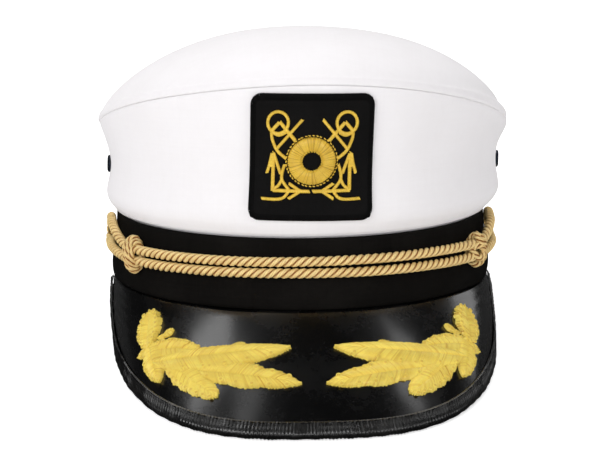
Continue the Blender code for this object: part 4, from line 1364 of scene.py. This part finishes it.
# Half of the badge's motif, in millimetres from the patch's centre; the other half is its mirror.
# Two crossed anchors with rope rings at the top, and arrow flukes, over a foot scroll.
def motif_lines():
    thin, wide = 0.52, 0.62
    return [
        (arc((-15.4, 14.9), 4.6, 0, 360, 40), thin),
        (((-18.0, 11.6), (-14.6, 15.2), (-7.6, 7.4)), wide),
        (bent((-18.1, 11.8), (-18.0, 8.4), (-15.6, 3.2), (-11.6, -0.2)), thin),
        (bent((-17.6, 10.6), (-14.8, 9.6), (-11.9, 10.8)), thin),
        (((-4.6, 16.2), (-15.6, 4.0)), thin),
        (((-17.2, 1.6), (-17.2, -14.0), (-0.8, -14.3)), wide),
        (((-19.9, -6.4), (-17.2, 2.2), (-13.9, -6.6)), thin),
        (bent((-12.0, -2.8), (-13.1, -6.4), (-13.0, -9.6), (-9.9, -13.7)), thin),
        (bent((-13.4, -9.6), (-14.6, -11.8), (-16.4, -13.2)), thin),
        (((-9.8, -11.0), (-4.9, -14.1)), thin),
        (((-9.8, -17.4), (-5.2, -14.5)), thin),
        (bent((-21.8, -17.6), (-15.6, -17.8), (-12.2, -17.0), (-9.9, -14.2)), thin),
    ]


def satin(stitches, random, line, half_width, low):
    """Close stitches across a line of the motif."""
    for place, ahead in zip(*walk(line, 0.00036)):
        reach = half_width * (0.92 + 0.16 * random.random())
        arc_line = stitch_arc(place, beside(ahead) * reach, ahead * reach * 0.45, low, low + 0.0007, 5)
        stitches.add(arc_line, 0.00020, 0.35 * random.random())


def arrow_head(stitches, random, low, mirror):
    """Stitches that fill an anchor's arrow head, from its tip down."""
    tip, left, right = np.array(((-17.2, 2.6), (-18.6, -3.6), (-15.6, -3.8))) / 1000
    for share in np.linspace(0.12, 1.0, 18):
        start, end = tip + (left - tip) * share, tip + (right - tip) * share
        middle, side = (start + end) / 2 * (mirror, 1), (end - start) / 2 * (mirror, 1)
        stitches.add(
            stitch_arc(middle, side, np.zeros(2), low, low + 0.0008, 5), 0.00021, 0.3 * random.random()
        )


def dotted_ring(stitches, random, low, radius, count, length, rise):
    centre = np.array((0.0, RING_OFFSET))
    for k in range(count):
        turn = 2 * math.pi * (k + 0.3 * random.random()) / count
        out = np.array((math.cos(turn), math.sin(turn)))
        side = np.array((-out[1], out[0])) * length / 2
        line = stitch_arc(centre + out * radius, side, out * 0.00008, low, low + rise, 4)
        stitches.add(line, 0.00026, 0.3 * random.random())


def make_emblem(materials):
    random = np.random.default_rng(11)
    low = GAP + PATCH_THICKNESS - 0.0002
    stitches = Stitches()
    for line, half_width in motif_lines():
        line = np.array(line) * (0.95, 1.0) / 1000
        satin(stitches, random, line, half_width / 1000, low)
        satin(stitches, random, line * (-1, 1), half_width / 1000, low)
    arrow_head(stitches, random, low, 1)
    arrow_head(stitches, random, low, -1)
    dotted_ring(stitches, random, low, 0.01085, 42, 0.00070, 0.0004)
    dotted_ring(stitches, random, low, 0.0042, 24, 0.00045, 0.0013)
    emblem = stitches.lay("badge_motif_stitching", materials["badge_gold"])
    finish_piece(emblem, "gold_thread", "badge_ring")


def make_badge_ring(materials):
    """Satin stitches run outwards over a padded ring."""
    random = np.random.default_rng(5)
    low = GAP + PATCH_THICKNESS - 0.0001
    inner, outer = RING_RADIUS - RING_HALF_WIDTH, RING_RADIUS + RING_HALF_WIDTH
    middle = (inner + outer) / 2
    count = 150
    stitches = Stitches()
    for k in range(count):
        turn = 2 * math.pi * (k + 0.2 * random.random()) / count
        lean = 0.05 * (random.random() - 0.5)
        reach = (outer - inner) / 2 * (0.97 + 0.06 * random.random())
        points = []
        for j in range(9):
            t = math.pi * j / 8
            radius = middle - reach * math.cos(t)
            swing = turn + lean * math.cos(t)
            rise = 0.0017 * math.sin(t) ** 0.55
            points.append((radius * math.cos(swing), RING_OFFSET + radius * math.sin(swing), low + rise))
        points = np.array(points)
        line = lean_back(on_crown_front(points[:, 0], points[:, 1], points[:, 2]))
        radius = np.hypot(points[:, 0], points[:, 1] - RING_OFFSET)
        stitches.add(line, 0.58 * radius * math.pi / count + 0.00006, 0.75 * random.random() ** 2)
    ring = stitches.lay("badge_ring_stitching", materials["badge_gold"])
    turn, tilt = np.meshgrid(np.linspace(0, 2 * np.pi, 97)[:-1], np.linspace(0, np.pi, 13), indexing="ij")
    radius = middle - (reach * 0.97) * np.cos(tilt)
    out = low + 0.0016 * np.sin(tilt) ** 0.55 - 0.0001
    flat = np.stack([radius * np.cos(turn), radius * np.sin(turn)], axis=-1)
    pad = on_crown_front(flat[..., 0], RING_OFFSET + flat[..., 1], out).transpose(1, 0, 2)
    uv = np.concatenate([flat, flat[:1]]).transpose(1, 0, 2)
    padding = grid_object("badge_ring_padding", pad, materials["badge_gold"], closed=True, uv=uv)
    flip_out(padding)
    thicken(padding, 0.0003)
    finish_piece(padding, "gold_thread", "badge_ring")
    finish_piece(ring, "gold_thread", "badge_ring")


def flip_out(obj):
    """Turns the faces of a piece on the cap's front outwards, towards -Y."""
    with edited(obj.data) as bm:
        bm.normal_update()
        if sum(face.normal.y * face.calc_area() for face in bm.faces) > 0:
            bmesh.ops.reverse_faces(bm, faces=bm.faces)


# ---- Leaf sprays ----

# The left spray's leaves, in millimetres across to the cap's middle and up the peak from the
# spray's origin: base, tip, half widths on the upper and lower side, sideways bow, layer,
# scallops on each side, and how blunt the tip is.
LEAVES = (
    ((-22.4, 4.6), (10.4, 9.8), (5.2, 5.2), 1.2, 1, (5, 0), 0.5),
    ((-19.6, 9.6), (-3.0, -7.4), (5.4, 5.2), -0.6, 2, (0, 3), 0.2),
    ((-18.6, 6.6), (-29.6, 25.4), (6.6, 6.4), 0.4, 3, (4, 4), 0.9),
    ((-16.6, 12.4), (-12.6, 14.0), (1.5, 1.5), 0.0, 0, (0, 0), 0.6),
    ((-13.4, 13.4), (-10.2, 17.6), (1.7, 1.7), 0.0, 2, (0, 0), 0.9),
    ((-17.4, 10.0), (-20.6, 5.6), (1.5, 1.5), 0.0, 0, (0, 0), 0.6),
    ((-19.2, 6.8), (-23.4, 2.6), (2.0, 2.0), 0.0, 1, (0, 0), 0.9),
    ((-8.6, 4.6), (27.8, -7.8), (5.8, 5.8), -1.0, 1, (0, 6), 0.8),
    ((14.0, 0.6), (54.2, 10.8), (6.0, 5.4), -0.6, 2, (3, 3), 0.15),
    ((-10.6, 0.4), (43.0, 24.4), (4.4, 7.6), -2.6, 3, (0, 3), 0.25),
    ((21.0, 12.6), (26.2, 19.0), (2.2, 2.2), 0.0, 2, (0, 0), 0.9),
)


def leaf_edges(base, tip, half_widths, bow, scallops, blunt, steps=60):
    """A leaf's midrib and its two edges, as flat lines in metres."""
    base, tip = np.array(base) / 1000, np.array(tip) / 1000
    t = np.linspace(0.0, 1.0, steps)[:, None]
    across = np.array((base[1] - tip[1], tip[0] - base[0]))
    across = across / np.linalg.norm(across)
    middle = base + (tip - base) * t + across * (bow / 1000) * 4 * t * (1 - t)
    pointed = np.sin(math.pi * np.clip(t, 0.004, 0.996) ** 0.85) ** 0.7
    round_end = np.sqrt(1.0 - np.clip((t - 0.45) / 0.55, 0.0, 1.0) ** 2.4)
    rounded = np.minimum(1.0, 2.2 * t) ** 0.6 * round_end
    width = pointed * (1 - blunt) + rounded * blunt
    edges = []
    for side, half_width, count in zip((1, -1), half_widths, scallops):
        lobe = 1.0 if count == 0 else 0.84 + 0.22 * np.abs(np.sin(math.pi * count * t)) ** 0.6
        edges.append(middle + side * across * width * (half_width / 1000) * lobe)
    return middle, edges


def spray_frame(side):
    angle = np.float64(side * SPRAY_ANGLE)
    return stand_on(peak_surface(angle, SPRAY_SHARE), peak_normal(angle, SPRAY_SHARE))


class SprayGround:
    """Puts flat spray places onto the peak's upper side."""

    def __init__(self, side, peak):
        self.side = side
        self.matrix = lean_matrix() @ spray_frame(side)
        bm = bmesh.new()
        bm.from_mesh(peak.data)
        self.tree = BVHTree.FromBMesh(bm)
        bm.free()
        self.down = -(self.matrix.to_3x3() @ Vector((0.0, 0.0, 1.0)))

    def on(self, u, v, out):
        start = self.matrix @ Vector((-self.side * u, v, 0.02))
        place, normal, _, _ = self.tree.ray_cast(start, self.down)
        if place is None:
            place, normal, _, _ = self.tree.find_nearest(self.matrix @ Vector((-self.side * u, v, 0.0)))
        return place + normal * out


def leaf_mound(across_share, height):
    """Padding's height across half a leaf, from the midrib (0) to the edge (1)."""
    groove = 1.0 - 0.55 * math.exp(-((across_share / 0.16) ** 2))
    return height * groove * math.sqrt(max(0.0, 1.0 - across_share**2.6))


def make_spray(name, side, node_name, peak, materials):
    ground = SprayGround(side, peak)
    random = np.random.default_rng(21 if side < 0 else 22)
    stitches = Stitches()
    faces, places, dots = [], [], []
    for base, tip, half_widths, bow, layer, scallops, blunt in LEAVES:
        middle, edges = leaf_edges(base, tip, half_widths, bow, scallops, blunt)
        length = run_lengths(middle, 0)[-1]
        lift = 0.00025 + 0.00033 * layer
        height = 0.00095 if half_widths[0] > 3 else 0.0006
        count = max(6, int(length / LEAF_PITCH))
        for edge_index, edge in enumerate(edges):
            flip = (side > 0) == (edge_index == 0)
            add_padding(ground, middle, edge, lift - 0.00012, height, places, faces, flip)
            for k in range(count):
                t = (k + 0.25 * (random.random() - 0.5)) / (count - 1)
                start = sample_line(middle, min(max(t, 0.0), 1.0))
                end = sample_line(edge, min(1.0, t + 0.055 + 0.05 * t))
                reach = 0.97 + 0.10 * random.random()
                line = []
                for share in np.arange(7) / 6:
                    flat = start + (end - start) * (share * reach)
                    out = 0.0001 if share == 1.0 else lift + leaf_mound(share, height)
                    line.append(ground.on(flat[0], flat[1], out))
                radius = LEAF_PITCH * (0.46 + 0.12 * random.random())
                tone = 0.50 * random.random() ** 2
                tone += 0.45 if random.random() < 0.05 else 0.0
                stitches.add(line, radius, tone)
            for k in range(2 * scallops[edge_index]):
                share = (k + 0.75) / (2 * scallops[edge_index] + 0.5)
                place = sample_line(middle, share) * 0.30 + sample_line(edge, share) * 0.70
                dots.append((place, lift + leaf_mound(0.70, height)))
    for (u, v), out in dots:
        around = np.radians(np.linspace(0.0, 330.0, 12))
        # Each dot is a ring round a small middle stitch, darkened as painted shade in the dot's hole.
        for radius, tone, size in ((0.00085, 0.0, 0.00024), (0.00026, 0.55, 0.00040)):
            ring = [
                ground.on(u + radius * math.cos(t), v + radius * math.sin(t), out + 0.00024) for t in around
            ]
            stitches.add([*ring, ring[0]], size, tone)
    threads = stitches.lay(name + "_stitching", materials["gold"], sides=5)
    finish_piece(threads, "gold_thread", node_name)
    mesh = bpy.data.meshes.new(name + "_padding")
    mesh.from_pydata([tuple(p) for p in places], [], faces)
    mesh.shade_smooth()
    padding = add_object(name + "_padding", mesh, materials["gold"])
    finish_piece(padding, "gold_thread", node_name)


def sample_line(line, share):
    where = share * (len(line) - 1)
    k = min(int(where), len(line) - 2)
    return line[k] + (line[k + 1] - line[k]) * (where - k)


def add_padding(ground, middle, edge, lift, height, places, faces, flip):
    """A closed pad under half a leaf, from midrib to edge."""
    rows, columns = 24, 7
    start = len(places)
    for sheet_out in (1, 0):
        for r in range(rows):
            share = r / (rows - 1)
            a, b = sample_line(middle, share), sample_line(edge, share)
            for c in range(columns):
                x = c / (columns - 1)
                flat = a + (b - a) * x * 0.97
                out = (lift + leaf_mound(x, height) - 0.00008) if sheet_out and c < columns - 1 else 0.00005
                places.append(ground.on(flat[0], flat[1], out))
    lower = start + rows * columns
    made = []
    for r in range(rows - 1):
        for c in range(columns - 1):
            a = start + r * columns + c
            made.append((a, a + 1, a + columns + 1, a + columns))
            b = lower + r * columns + c
            made.append((b, b + columns, b + columns + 1, b + 1))
    rim = [r * columns for r in range(rows)] + [(rows - 1) * columns + c for c in range(1, columns)]
    rim += [r * columns + columns - 1 for r in range(rows - 2, -1, -1)] + list(range(columns - 2, 0, -1))
    for a, b in zip(rim, rim[1:] + rim[:1]):
        made.append((start + a, start + b, lower + b, lower + a))
    faces += [f[::-1] for f in made] if flip else made


# ---- Stitch rows ----


def make_stitch_rows(angles, along, materials):
    """Machine stitches that hold the binding."""
    random = np.random.default_rng(3)
    stitches = Stitches()
    for start in np.arange(0.004, along[-1] - 0.004, MACHINE_PITCH):
        line = []
        for j in range(5):
            angle = np.interp(start + MACHINE_STITCH * j / 4, along, angles)
            share = float(binding_reach(angle)) * 0.80
            out = GAP + BINDING_CLOTH + 0.00016 * math.sin(math.pi * j / 4) - 0.0002
            out += BINDING_TIP_SLACK * abs(math.sin(math.radians(angle))) ** 12
            line.append(peak_surface(angle, share) + peak_normal(angle, share) * out)
        stitches.add(lean_back(np.array(line)), 0.00018 + 0.00002 * random.random())
    finish_piece(stitches.lay("binding_stitches", materials["black_thread"]), "binding_tape", "peak_binding")


def main():
    make_camera()
    materials = make_materials()
    rope_tree()
    thread_tree()
    make_cord(materials)
    make_knot("cord_knot_wraps_left", -1, LEFT_KNOT, "cord_knot_left", materials)
    make_knot("cord_knot_wraps_right", 1, RIGHT_KNOT, "cord_knot_right", materials)
    make_band(materials)
    make_crown_wall(materials)
    make_crown_top(materials)
    peak = make_peak(materials)
    angles, along = make_binding(materials)
    make_stitch_rows(angles, along, materials)
    for side_name, side in (("left", -1), ("right", 1)):
        make_button("side_button_head_" + side_name, side, "side_button_" + side_name, materials)
        make_eyelet("vent_eyelet_" + side_name, side, "eyelet_" + side_name, materials)
        make_spray("leaf_spray_" + side_name, side, "leaf_spray_" + side_name, peak, materials)
    make_patch(materials)
    make_emblem(materials)
    make_badge_ring(materials)
    make_floor()
    make_light()


main()
